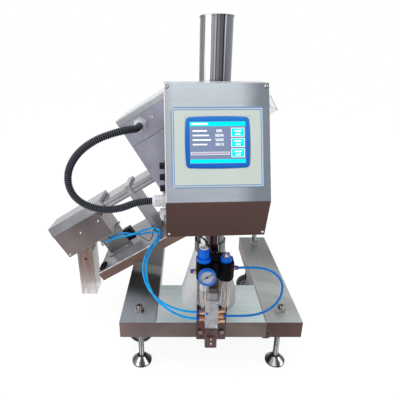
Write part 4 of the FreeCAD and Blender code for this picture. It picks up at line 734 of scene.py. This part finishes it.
def fluted(radius, flutes, depth, profile, centre, count=288):
    """A knob's skin. A profile point gives a share of the radius, a share of the groove and a height,
    and the ring's radius there is radius * share - depth * groove * ((1 + cos(flutes * a)) / 2) ** 2."""
    share, groove, height = np.array(profile, float).T
    angle = np.linspace(0, TURN, count + 1)[:, None]
    reach = radius * share[None] - depth * groove[None] * (0.5 + 0.5 * np.cos(flutes * angle)) ** 2
    return np.stack([centre[0] + reach * np.cos(angle), centre[1] + reach * np.sin(angle),
                     np.broadcast_to(centre[2] + height, reach.shape)], -1)


knob_low, knob_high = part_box("regulator_knob")
knob_rise = knob_high[2] - knob_low[2]
knob_skin = fluted(0.013, 16, 0.0011, [
    (0, 0, 0), (0.96, 0, 0), (1, 0, 0.001), (1, 0, 0.0035), (0.985, 1, 0.0045), (0.97, 1, knob_rise * 0.78),
    (0.93, 0.6, knob_rise * 0.86), (0.84, 0.1, knob_rise * 0.90), (0.80, 0, knob_rise * 0.90),
    (0, 0, knob_rise * 0.90)], (*filter_axis, knob_low[2]))
regulator = piece("regulator_handwheel", [knob_skin], blue_plastic, "regulator_knob")
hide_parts("regulator_knob")
piece("regulator_cap", [turned(
    [(0.0102, knob_rise * 0.90), (0.0098, knob_rise * 0.96), (0.008, knob_rise * 0.99), (0.0055, knob_rise),
     (0.005, knob_rise * 0.95), (0, knob_rise * 0.95)], (*filter_axis, knob_low[2]), UP, 48)],
    white_plastic, "regulator_knob")


# Pressure gauge: a blue cup with a white dial, a printed scale and red arc, a black pointer and a domed
# window. It is screwed into the regulator's front.
GAUGE_X = -0.020
GAUGE_Z = 0.374
DIAL_RADIUS = 0.01825
DIAL_DEPTH = 0.0075
gauge_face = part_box("gauge_case")[0][1]
cup = Finish("gauge_cup", Specular_IOR_Level=0.3)
from_axis = ((cup.across - GAUGE_X) ** 2 + (cup.up - GAUGE_Z) ** 2) ** 0.5
dial = (from_axis < DIAL_RADIUS) * (cup.back < gauge_face + DIAL_DEPTH)
cup_grain = cup.noise(600)
cup_cloud = cup.noise(60)
cup_blue = cup.mixed(cup_cloud, (20, 92, 196), (48, 134, 226))
dial_white = cup.mixed(cup_grain, (184, 190, 208), (206, 211, 226))
cup.wear(Base_Color=cup.mixed(dial, cup_blue, dial_white), Roughness=cup_grain * 0.1 + 0.3)
cup.raised(cup_grain, 0.00004)
dress(cup, "gauge_case")


def tiles(rectangles, place):
    """Flat tiles. Each has its four corners as two numbers, and place gives their points."""
    corners = np.array(rectangles, float).reshape(-1, 4, 2)
    return [place(tile[[0, 1, 3, 2]].reshape(2, 2, 2)) for tile in corners]


def ray(bearing, inner, outer, width):
    """The corners of a tile that points outwards at a bearing in degrees, anticlockwise from the
    right."""
    turn = math.radians(bearing)
    out = np.array([math.cos(turn), math.sin(turn)])
    side = np.array([-out[1], out[0]]) * width / 2
    return [out * inner - side, out * inner + side, out * outer + side, out * outer - side]


PRINT_DEPTH = 0.0055


def on_dial(points, forward=0.0):
    """Points of the dial's plane, which lies 5.5 mm behind the case's front, or forward of it."""
    flat = np.asarray(points)
    back = np.full(flat.shape[:-1], gauge_face + PRINT_DEPTH)
    return np.stack([GAUGE_X + flat[..., 0], back, GAUGE_Z + flat[..., 1]], -1) + [0, forward, 0]


scale_marks = [ray(225 - 27 * count, 0.0125, 0.0165, 0.0007) for count in range(11)]
scale_marks += [ray(225 - 5.4 * count, 0.0145, 0.0165, 0.00035) for count in range(51)]
piece("gauge_scale", tiles(scale_marks, on_dial), moulded("scale_ink", (20, 20, 26), (34, 34, 40)),
      "base", flat=True)
red_arc = [ray(36 - 2 * count, 0.0170, 0.0178, 0.0007) for count in range(40)]
piece("gauge_red_arc", tiles(red_arc, on_dial), red_plastic, "base", flat=True)
dress(black_plastic, "gauge_needle")
arrow = np.array([[-0.0085, -0.0015], [-0.0085, 0.0015], [0.0142, 0.0005], [0.0142, -0.0005]])
READING = math.radians(30)
arrow_turn = np.array([[math.cos(READING), math.sin(READING)], [-math.sin(READING), math.cos(READING)]])
arrow_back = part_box("gauge_needle")[0][1] + 0.0009 - gauge_face - PRINT_DEPTH
piece("gauge_arrow", tiles([arrow @ arrow_turn], lambda points: on_dial(points, arrow_back)),
      black_plastic, "gauge_needle", flat=True)
window = Finish("gauge_window", Roughness=0.05, Alpha=0.08, Coat_Weight=0.25, Coat_Roughness=0.03)
window.wear(Base_Color=window.mixed(window.noise(90), (196, 204, 224), (236, 240, 250)))
piece("gauge_window", [turned(
    [(0.0185, 0.0125), (0.0178, 0.0131), (0.014, 0.0137), (0.007, 0.0141), (0, 0.0142)],
    (GAUGE_X, gauge_face + 0.014, GAUGE_Z), FORWARD, 48)], window, "base")


# Solenoid valve: an anodised body with an end cap, a lacquered coil below it and a blue override. Brass
# push-in fittings with blue release rings take the air tubes.
anodised = plated("anodised", (142, 142, 148), (184, 184, 190), roughness=0.42, metallic=0.3)
dress(anodised, "valve_body")
coil_lacquer = moulded("coil_lacquer", (70, 48, 46), (100, 74, 70), roughness=0.34, coat=0.2)
dress(coil_lacquer, "valve_coil")
dress(blue_plastic, "override_button")
fitting = Finish("fitting_brass", Roughness=0.28)
release_left = (fitting.across < -0.0515) + (fitting.up < 0.235) * (fitting.across < -0.033)
level_tube = (fitting.up < 0.222) * (fitting.up > 0.21)
release_right = (fitting.across > 0.0485) + level_tube * (fitting.across > 0.0295)
release = (release_left + release_right).bounded()
brass_cloud = fitting.noise(90)
turned_brass = fitting.mixed(brass_cloud, (150, 104, 80), (226, 190, 160))
release_ring = fitting.mixed(brass_cloud, (34, 40, 150), (52, 66, 190))
fitting.wear(Base_Color=fitting.mixed(release, turned_brass, release_ring), Metallic=(1 - release) * 0.8)
fitting.raised(fitting.noise(900), 0.00003)
dress(fitting, "air_fittings")


def rounded_block(centre, halves, edge, turn=None, steps=12):
    """A block with rounded edges: a point of each face of the block is drawn in to the block less
    its edge radius, and goes out from there by the radius. turn places it."""
    halves = np.array(halves, float)
    s, t = np.meshgrid(np.linspace(-1, 1, steps), np.linspace(-1, 1, steps), indexing="ij")
    s, t = np.sin(s * np.pi / 2), np.sin(t * np.pi / 2)
    grids = []
    for axis in range(3):
        for way in (-1.0, 1.0):
            raw = np.zeros((*s.shape, 3))
            raw[..., axis] = way
            raw[..., (axis + 1) % 3] = s
            raw[..., (axis + 2) % 3] = t
            raw *= halves
            inner = np.clip(raw, -(halves - edge), halves - edge)
            out = raw - inner
            out /= np.linalg.norm(out, axis=-1)[..., None]
            block = inner + out * edge
            grids.append(np.array(centre) + (block if turn is None else block @ turn.T))
    return grids


coil_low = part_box("valve_coil")[0]
coil_across = middle_of("valve_coil")[0]
piece("coil_plug", rounded_block((coil_across, coil_low[1] - 0.001, coil_low[2] + 0.026),
                                 (0.011, 0.004, 0.014), 0.0015), coil_lacquer, "base")
piece("coil_screws", [
    turned([(0, 0.0016), (0.0018, 0.0014), (0.0024, 0.0006), (0.0025, 0)],
           (coil_across, coil_low[1] - 0.005, coil_low[2] + rise), FORWARD, 20)
    for rise in (0.019, 0.033)], bright_screw, "base")
piece("valve_cap_screws", [
    turned([(0, 0.0012), (0.0009, 0.0012), (0.001, 0.0016), (0.0020, 0.0015), (0.0026, 0.0007), (0.0026, 0)],
           (coil_across + step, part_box("valve_body")[0][1], rise), FORWARD, 20)
    for step in (-0.013, 0.013) for rise in (0.189, 0.266)], bright_screw, "base")
COIL_LEAD = 0.0012
lead_red = moulded("lead_red", (150, 34, 40), (190, 60, 58))
for name, shift in (("coil_lead_left", -0.0022 * 1000), ("coil_lead_right", 0.0014 * 1000)):
    lead, line, length = tube_along(name, [
        (-24 + shift, -134, 205), (-26 + shift, -141, 204), (-27 + shift, -149, 197),
        (-25 + shift, -152, 183), (-21 + shift, -151.5, 170), (-17 + shift, -150.5, 163),
        (-14.5 + shift / 2, -148.2, 160)],
        COIL_LEAD, COIL_LEAD, 10, lead_red, "base")


# Carriage: a welded sleeve that slides on the mast, its clamp lever, and the tilt quadrant with the
# lock's star knob.
# The sleeve's brown sides are a painted reflection, and its top takes painted light.
dress(brushed_sheet("carriage_steel", (104, 88, 84), (176, 178, 184), grain="up"), "carriage_sleeve")
dress(plated("lever_zinc", (110, 110, 116), (190, 190, 196), roughness=0.28), "clamp_lever")
dress(black_plastic, "tilt_lock_knob")


# Control box: a folded stainless shell and a bent front cover. The sloped upper front is painted
# light, lighter towards its top, with painted shade to the right and the left and a painted highlight
# along its left edge. The lower front and the shell's sides carry a painted reflection of a brown
# surround, the shell's top has painted light, and the cover's side faces a painted shade.
BOX_TURN = math.radians(3)
BOX_SHIFT = 0.013
BOX_FRONT = -0.210
BOX_FOLD = 0.570
BOX_UNDERSIDE = 0.479
dress(brushed_sheet("box_shell_steel", (98, 84, 82), (196, 198, 204), grain="up"), "box_shell")
cover = Finish("front_cover_steel", Metallic=0.6)
fold = cover.up.ramped(0.5685, 0.5715)
# Painted shade on the cover's side faces.
shaded_side_faces = cover.facing()[0].size().ramped(0.7, 0.9)
cover_streaks = cover.noise(12, 1400, 1400, detail=2.0)
cover_clouds = cover.noise(8)
slow_streaks = cover.noise(2.2, 90, 90, detail=2.0)
# Painted shade towards the right and the left of the sloped front.
right_painted_shade = (cover.across * 11.5 + cover_clouds * 0.5 - 0.6).ramped(0.0, 0.62)
left_shade = (cover.across * -14 - 1.32).ramped(0.0, 0.25)
# Painted light: the sloped front is lighter towards its top.
upper_painted_light = ((cover.up - BOX_FOLD) * 2.4 + cover_clouds * 0.4 + slow_streaks * 0.4 - 0.2).bounded()
upper = cover.mixed(upper_painted_light, (160, 166, 178), (206, 214, 220))
upper = cover.mixed(right_painted_shade, upper, (126, 132, 142))
upper = cover.mixed(left_shade * 0.6, upper, (164, 164, 170))
# Painted brown reflection on the lower front, lighter towards the fold.
lower_painted_light = ((cover.up - BOX_UNDERSIDE) * 5.5 + cover_clouds * 0.45 - 0.15).bounded()
lower = cover.mixed(lower_painted_light, (74, 50, 46), (92, 68, 62))
# Painted highlight along the left edge of the sloped front.
left_edge_highlight = ((cover.across + BOX_SHIFT) * math.cos(BOX_TURN) + cover.back * math.sin(BOX_TURN)) < -0.1078
upper = cover.mixed(left_edge_highlight, upper, (236, 238, 240))
cover_colour = cover.mixed(fold, lower, upper)
cover_colour = cover.mixed(shaded_side_faces, cover_colour, (88, 78, 80))
brush = cover.mixed(cover_streaks.ramped(0.3, 0.7), (0.9, 0.9, 0.9, 1), (1, 1, 1, 1))
cover.wear(Base_Color=cover.multiplied(cover_colour, brush),
           Roughness=cover_clouds * 0.1 + cover_streaks * 0.1 + 0.26)
cover.raised(cover_streaks, 0.00003, 0.6)
dress(cover, "front_cover")


# Box fasteners: pan-head screws with a hexagon socket hold the cover at its corners. The upper two
# carry a painted reflection: near white where the head faces left and up, near black where it faces
# right and down.
BOX_TOP = 0.799
BOX_TOP_FRONT = -0.122
FACE_LEAN = math.atan2(BOX_TOP_FRONT - BOX_FRONT, BOX_TOP - BOX_FOLD)


def on_box(points):
    """Points given across, back and up in the control box's frame, turned by its 3 degrees and set
    13 mm to the left of the mast."""
    across, back, up = np.moveaxis(np.asarray(points, float), -1, 0)
    return np.stack([across * math.cos(BOX_TURN) - back * math.sin(BOX_TURN) - BOX_SHIFT,
                     across * math.sin(BOX_TURN) + back * math.cos(BOX_TURN), up], -1)


def on_face(points):
    """Points given across, out from the sloped face and up along it from the fold."""
    across, out, up = np.moveaxis(np.asarray(points, float), -1, 0)
    return on_box(np.stack([across, BOX_FRONT - out * math.cos(FACE_LEAN) + up * math.sin(FACE_LEAN),
                            BOX_FOLD + out * math.sin(FACE_LEAN) + up * math.cos(FACE_LEAN)], -1))


def screw(centre, axis, radius):
    """A pan head with a hexagon socket, as a turned profile."""
    return turned(np.array([(0.96, 0), (1, 0.2), (0.86, 0.55), (0.5, 0.68), (0.46, 0.3), (0, 0.3)]) * radius,
                  centre, axis, 24)


def screws(name, places, radius, axis=FORWARD, finish=bright_screw, body="tilt_unit"):
    """Equal screws at the given places, as one piece. Most face forward on the tilting unit."""
    piece(name, [screw(place, axis, radius) for place in places], finish, body)


SCREW_ACROSS = 0.1035
face_out = on_face((0, 1, 0)) - on_face((0, 0, 0))
lower_out = np.cross(on_box((1, 0, 0)) - on_box((0, 0, 0)),
                     on_box((0, BOX_FRONT, BOX_FOLD)) - on_box((0, BOX_FRONT + 0.025, BOX_UNDERSIDE)))
lower_out /= np.linalg.norm(lower_out)
painted_reflection_screw = Finish("mirror_screw", Metallic=0.4, Roughness=0.2)
facing_right, _, facing_up = painted_reflection_screw.facing()
reflection_side = facing_right - facing_up * 0.6
screw_grain = painted_reflection_screw.noise(900)
# Painted reflection: near white on one side of each head, near black on the other.
painted_reflection_screw.wear(Base_Color=painted_reflection_screw.mixed(
    (reflection_side + screw_grain * 0.2).ramped(-0.35, 0.1), (244, 244, 246), (20, 18, 20)))
painted_reflection_screw.raised(screw_grain, 0.00003)
screws("cover_top_screws", [on_face((across, 0, 0.2385)) for across in (-SCREW_ACROSS, SCREW_ACROSS)],
       0.0042, face_out, painted_reflection_screw, "carriage")
screws("cover_lower_screws", [on_box((across, BOX_FRONT + 0.025 * 0.9, BOX_FOLD - 0.091 * 0.9))
                              for across in (-SCREW_ACROSS, SCREW_ACROSS)],
       0.0030, lower_out, body="carriage")


# Screen: a cream film panel with a blue printed border, a blue moulded bezel with bowed sides, and a
# lit screen of bars, fields and plain numbers.
film = Finish("membrane_film", Roughness=0.4, Coat_Weight=0.25, Coat_Roughness=0.2)
turned_across = (film.across + BOX_SHIFT) * math.cos(BOX_TURN) + film.back * math.sin(BOX_TURN)
along_face = (film.up - BOX_FOLD) / math.cos(FACE_LEAN)
outside = film.across.worked("MAXIMUM", turned_across.size() - 0.0960, (along_face - 0.1126).size() - 0.0830)
inside = outside * -1
blue_line = ((inside < 0.0020) + (inside > 0.0042) * (inside < 0.0060)).bounded()
film_ground = film.mixed(film.noise(12), (196, 208, 202), (212, 222, 214))
film.wear(Base_Color=film.mixed(blue_line, film_ground, (92, 138, 196)))
film.raised(film.noise(900), 0.00002)
dress(film, "membrane_panel")

bezel = Finish("bezel_blue", Roughness=0.34, Specular_IOR_Level=0.12)
bezel_shade = ((bezel.up - 0.63) * 7 + (bezel.across + 0.08) * 1.5 + bezel.noise(20) * 0.4).bounded()
bezel.wear(Base_Color=bezel.mixed(bezel_shade, (18, 84, 182), (44, 122, 212)))
bezel.raised(bezel.noise(900), 0.00003)
SCREEN_UP = 0.1227


def bowed_loop(half_width, half_height, bow, corner, count=44):
    """A rectangle with bowed sides and round corners. A point of the rectangle is drawn in to the
    rectangle less the corner radius and goes out from there by the radius. Each half size then
    shrinks by bow times the square of the other direction's share."""
    p = np.sin(np.linspace(-1, 1, count) * np.pi / 2)
    one = np.ones(count)
    loop = np.concatenate([np.stack([p, -one], -1), np.stack([one, p], -1)[1:],
                           np.stack([-p, one], -1)[1:], np.stack([-one, -p], -1)[1:]])
    half = np.array([half_width, half_height])
    inner = np.clip(loop * half, corner - half, half - corner)
    out = loop * half - inner
    out /= np.maximum(np.linalg.norm(out, axis=1), 1e-9)[:, None]
    loop = inner + out * corner
    share = loop / half
    return loop * (1 - bow * share[:, ::-1] ** 2)


def face_ring(loop, out):
    """A loop as points of the sloped face, a distance out from it."""
    return np.stack([loop[:, 0], np.full(len(loop), out), SCREEN_UP + loop[:, 1]], -1)


bezel_rings = [
    ((0.0675, 0.0537), 0.034, 0.0075, 0.0000), ((0.0678, 0.0539), 0.034, 0.0075, 0.0009),
    ((0.0670, 0.0531), 0.033, 0.0072, 0.0016), ((0.0640, 0.0500), 0.026, 0.0055, 0.0022),
    ((0.0598, 0.0452), 0.010, 0.0020, 0.0018), ((0.0580, 0.0432), 0.0, 0.0004, 0.0009)]
bezel_grid = np.stack([on_face(face_ring(bowed_loop(*size, bow, corner), out))
                       for size, bow, corner, out in bezel_rings])
piece("screen_bezel", [bezel_grid], bezel, "carriage")
surround = np.stack([on_face(face_ring(bowed_loop(half, half - 0.0139, 0.0, corner), 0.0002))
                     for half, corner in ((0.0694, 0.0004), (0.0600, 0.0002))])
piece("window_surround", [surround], film, "carriage")
module = rounded_block((0, 0, 0), (0.0640, 0.0070, 0.0495), 0.0008)
module_grids = [on_face(grid + np.array([0, -0.0066, SCREEN_UP])) for grid in module]
screen_back = piece("screen_module", module_grids, white_plastic, "carriage")
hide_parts("screen")

lit = Finish("screen_picture", Roughness=0.35, Emission_Strength=0.3, Specular_IOR_Level=0.05)
tint = lit.attribute("tint")["Color"]
lit.wear(Base_Color=tint, Emission_Color=tint, Roughness=lit.noise(200) * 0.1 + 0.2)
lit.raised((lit.across * 9000).wave() * (lit.up * 9000).wave(), 0.000004)
BODY_TINT = (120, 133, 163)
CYAN = (0, 226, 240)
PALE = (246, 250, 252)
DIGITS = {"0": "abcdef", "1": "bc", "2": "abged", "3": "abgcd", "4": "fgbc", "5": "afgcd", "6": "afgecd",
          "7": "abc", "8": "abcdefg", "9": "abcdfg"}
STROKES = {"a": (0, 1, 1, 1), "b": (1, 0.5, 1, 1), "c": (1, 0, 1, 0.5), "d": (0, 0, 1, 0),
           "e": (0, 0, 0, 0.5), "f": (0, 0.5, 0, 1), "g": (0, 0.5, 1, 0.5)}


def strokes(text, left, low, height, weight):
    """A number in plain strokes: each digit is drawn from the seven bars of a digital display."""
    bars = []
    wide = height * 0.52
    for place, digit in enumerate(text):
        start = left + place * wide * 1.5
        for stroke in DIGITS[digit]:
            x0, y0, x1, y1 = STROKES[stroke]
            bars.append((start + x0 * wide - weight / 2, low + y0 * height - weight / 2,
                         start + x1 * wide + weight / 2, low + y1 * height + weight / 2))
    return bars


fields = [((-0.0580, -0.0432, 0.0580, 0.0432), BODY_TINT), ((-0.0575, 0.0335, 0.0575, 0.0428), CYAN),
          ((-0.0575, -0.0425, 0.0575, -0.0345), CYAN)]
for count, value in enumerate(("1208", "85046", "46350", "35012")):
    level = 0.0240 - count * 0.0094
    fields.append(((-0.0520, level - 0.0015, -0.0520 + 0.030 + 0.004 * (count % 3), level + 0.0015), PALE))
    fields += [(bar, PALE) for bar in strokes(value, -0.0045, level - 0.0022, 0.0044, 0.0009)]
for level in (0.0205 - count * 0.0213 for count in range(3)):
    fields += [((0.0275, level - 0.0092, 0.0555, level + 0.0092), PALE),
               ((0.0287, level - 0.0080, 0.0543, level + 0.0080), CYAN),
               ((0.0340, level + 0.0014, 0.0490, level + 0.0044), PALE),
               ((0.0360, level - 0.0050, 0.0470, level - 0.0022), PALE)]
fields += [((-0.0560, -0.0258, 0.0245, -0.0196), PALE),
           ((-0.0552, -0.0250, 0.0237, -0.0204), (168, 160, 184)),
           ((-0.0545, 0.0362, -0.0200, 0.0400), PALE)]
corners = []
colours = []
for order, ((left, low, right, high), colour) in enumerate(fields):
    out = 0.0008 + 0.000012 * order
    corners.append([(left, out, SCREEN_UP + low), (right, out, SCREEN_UP + low),
                    (right, out, SCREEN_UP + high), (left, out, SCREEN_UP + high)])
    colours += [display(*colour)] * 4
picture_mesh = bpy.data.meshes.new("screen_picture")
picture_mesh.from_pydata(on_face(corners).reshape(-1, 3), [],
                         np.arange(len(corners) * 4).reshape(-1, 4).tolist())
tint_layer = picture_mesh.attributes.new("tint", "FLOAT_COLOR", "CORNER")
tint_layer.data.foreach_set("color", np.array(colours).ravel())
picture_mesh.materials.append(lit.material)
picture = placed("screen_picture", picture_mesh)
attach(picture, "carriage")


# Box fittings: black screw sockets with a knurled ring, and white nylon glands for the conduit and
# for the sensor's cable. The control board inside the box is green.
fittings = Finish("box_fittings_plastic", Roughness=0.4, Specular_IOR_Level=0.2)
fit_cloud = fittings.noise(60)
fit_black = fittings.mixed(fit_cloud, (8, 9, 18), (28, 30, 44))
fit_white = fittings.mixed(fit_cloud, (220, 225, 232), (248, 249, 251))
fittings.wear(Base_Color=fittings.mixed(fittings.up < 0.5505, fit_black, fit_white))
fittings.raised(fittings.noise(700), 0.00005)
dress(fittings, "box_fittings")
dress(moulded("board_green", (14, 66, 38), (26, 98, 58), roughness=0.35, coat=0.3), "control_board")


# Search head: a coil case and a wiring case of brushed stainless steel, with a shallow lid, on four
# turned posts. A white nylon gland takes the conduit.
SLOPE = 31
TILT = math.radians(SLOPE)
# The case and the lid take painted light on the faces that look up.
dress(brushed_sheet("head_steel", (168, 168, 184), (206, 208, 214), lean=SLOPE, grain="up", metallic=0.5),
      "head_body")
dress(brushed_sheet("head_lid_steel", (184, 188, 192), (226, 228, 230), lean=SLOPE, metallic=0.5), "head_lid")
dress(white_plastic, "head_gland")


def on_slope(points):
    """Points given up the slope, back and square to the slope, turned by the tilt of 31 degrees."""
    along, back, over = np.moveaxis(np.asarray(points, float), -1, 0)
    return np.stack([along * math.cos(TILT) - over * math.sin(TILT), back,
                     along * math.sin(TILT) + over * math.cos(TILT)], -1)


screws("case_screws", [on_slope((along, 0.054, 0.6845)) for along in (0.2275, 0.157)], 0.0036)


# Chute: clear acrylic sheet, glued at its edges, with an open mouth. Flat-bar stands clamp it to
# the tray.
def clear_sheet(name):
    """A glossy finish for clear sheet. The pieces add their own tint and opacity."""
    return Finish(name, Roughness=0.12, Coat_Weight=0.8, Coat_Roughness=0.06)


def line_at(value, middle, half):
    """1 within half a line's width of its middle, and 0 beyond it."""
    return (value - middle).size() < half


chute = clear_sheet("chute_acrylic")
over_slope = chute.up * math.cos(TILT) - chute.across * math.sin(TILT)
along_chute = chute.across * math.cos(TILT) + chute.up * math.sin(TILT)
at_mouth = along_chute.ramped(0.3, 0.4)
inner_lines = line_at(over_slope, 0.5450, 0.0012) + line_at(over_slope, 0.5335, 0.0016)
chute_edge = (line_at(over_slope, 0.5655, 0.0022) +
              line_at(over_slope, 0.522, 0.0022) * (1 - at_mouth * 0.6) +
              inner_lines * (1 - at_mouth * 0.85)).bounded()
chute_tint = chute.mixed(chute.noise(14), (184, 184, 192), (226, 226, 232))
chute_lip = line_at(along_chute, 0.5262, 0.0022) * 0.3
chute.wear(
    Base_Color=chute.mixed(chute_edge * (0.85 - at_mouth * 0.25), chute_tint, (78, 78, 88)),
    Alpha=(chute_edge * 0.25 + chute_lip + 0.62 - at_mouth * 0.5).bounded(),
    Roughness=chute.noise(160, 40, 160) * 0.15 + 0.05)
spout = clear_sheet("spout_acrylic")
corner_way = ((spout.across + 0.391).size() > 0.0235) * ((spout.back - 0.137).size() > 0.0315)
spout_fade = ((spout.up - 0.11) * 9.0).bounded()
spout_veil = spout.noise(160, 160, 9).ramped(0.35, 0.65)
spout_lines = spout.noise(95, 95, 7.0).ramped(0.46, 0.64)
# The brown that deepens up the spout is a painted reflection of a brown surround.
spout_tint_and_reflection = spout.mixed(spout_fade, (200, 190, 188), (126, 92, 78))
spout_tint_and_reflection = spout.mixed(spout_veil * 0.35, spout_tint_and_reflection, (196, 160, 148))
spout_rim = line_at(spout.up, 0.1005, 0.0028) * 0.4
spout.wear(
    Base_Color=spout.mixed((corner_way + spout_rim).bounded(), spout_tint_and_reflection, (104, 92, 92)),
    Alpha=(corner_way * 0.2 + spout_rim + spout_lines * 0.2 + spout_veil * 0.1 + spout_fade * 0.3 +
           0.25).bounded(),
    Roughness=spout_veil * 0.1 + 0.06)
dress(chute, "chute")
dress(spout, "spout")
screws("spout_screw", [(middle_of("spout")[0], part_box("spout")[0][1], 0.2465)], 0.0036,
       finish=plated("black_screw", (20, 18, 20), (52, 46, 46)))
# The stands and the flap take painted light on the faces that look up.
stand_steel = brushed_sheet("stand_steel", (150, 150, 156), (196, 198, 204), lean=SLOPE, grain="up")
dress(stand_steel, "chute_stands")
screws("stand_screws", [on_slope((along, 0.0988, 0.5315)) for along in (0.047, 0.353)], 0.0034)


# Cables: the valve's black cable rises from behind the air set to the box's underside, and the
# sensor's cable hangs from the small gland to the sensor on the tray.
def lead_cable(name, route, diameter):
    """A black cable along a route."""
    cable, line, length = tube_along(name, route, LINE_STEP, diameter, 12, black_plastic)
    return cable


valve_cable = lead_cable("valve_cable", [
    (-9, -119, 383), (-9, -118, 402), (-14, -114, 420), (-24, -108, 431), (-36, -101, 437), (-46, -95, 446),
    (-50, -92, 461), (-50, -92, 478.8)], 0.0042)
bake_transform(valve_cable)
sensor_cable = lead_cable("sensor_cable", [
    (-125.4, -101, 480), (-125.6, -101, 467), (-131, -93, 454), (-142, -68, 444), (-153, -38, 426),
    (-160, -8, 398), (-166, 18, 368), (-174, 44, 346), (-187, 72, 331), (-201, 104, 323), (-216, 130, 320),
    (-229, 144, 318)], 0.0022)
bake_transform(sensor_cable)


# Tray: a folded and polished channel under the head, the chute and the reject unit. Its sides carry a
# painted brown reflection and its top painted light. A thin bright strip along its front edge is a
# painted highlight on the fold.
dress(brushed_sheet("tray_steel", (122, 96, 88), (150, 152, 158), lean=SLOPE, roughness=0.24, metallic=0.6),
      "tray")
# Painted highlight: a thin bright strip along the front fold.
edge_highlight_strip = on_slope([[(along, 0.0537, over) for along in (-0.1775, 0.379)] for over in (0.3655, 0.3686)])
piece("tray_edge_highlight", [edge_highlight_strip], bright_screw, "tilt_unit", flat=True)


# Reject unit: a case and front cover with a painted brown reflection, the cover also with a painted
# shade up the slope, a light lid with painted light on its top, a clear passage with a steel flap, and
# an air cylinder with its clevis.
dress(brushed_sheet("reject_steel", (146, 142, 140), (170, 170, 172), lean=SLOPE), "reject_frame")
# Painted shade on the cover, full up the slope beyond -0.12 m.
dress(brushed_sheet("reject_cover_steel", (138, 126, 126), (150, 148, 150), lean=SLOPE,
                    dusk=(0, -0.26, -0.12, 0.5)), "reject_cover")
dress(brushed_sheet("reject_lid_steel", (150, 151, 156), (176, 178, 182), lean=SLOPE, metallic=0.5),
      "reject_lid")
dress(stand_steel, "reject_flap")
dress(plated("collar_steel", (150, 150, 154), (214, 215, 219), roughness=0.24), "cylinder_rod")
dress(anodised, "air_cylinder")
cover_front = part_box("reject_cover")[0][1]
screws("reject_cover_screws", [on_slope((along, cover_front, over)) for along, over in
                               ((-0.1605, 0.4985), (-0.0905, 0.5030), (-0.236, 0.4540))], 0.0036)
slope_turn = np.stack([on_slope((1, 0, 0)), [0, 1, 0], on_slope((0, 0, 1))], -1)
for name, place, halves, edge, finish, slot in (
        ("lid_end_plate", (-0.0482, 0.145, 0.5517), (0.0007, 0.0455, 0.0055), 0.0003,
         stand_steel, "light_steel"),
        # A black fitting at the tray's left end, made large enough to also stand for the shade along that
        # end: partly a real part, partly painted shade.
        ("tray_end_sensor", (-0.160, 0.079, 0.3726), (0.009, 0.016, 0.0044), 0.0012,
         black_plastic, "black_plastic"),
        ("chute_sensor", (-0.052, 0.152, 0.4010), (0.0140, 0.0125, 0.0200), 0.0015,
         black_plastic, "black_plastic")):
    piece(name, rounded_block(on_slope(place), halves, edge, slope_turn), finish, "tilt_unit")
screws("stand_bolts", [on_slope((along, 0.138, 0.3712)) for along in (-0.138, -0.080)], 0.0042,
       slope_turn[:, 2])
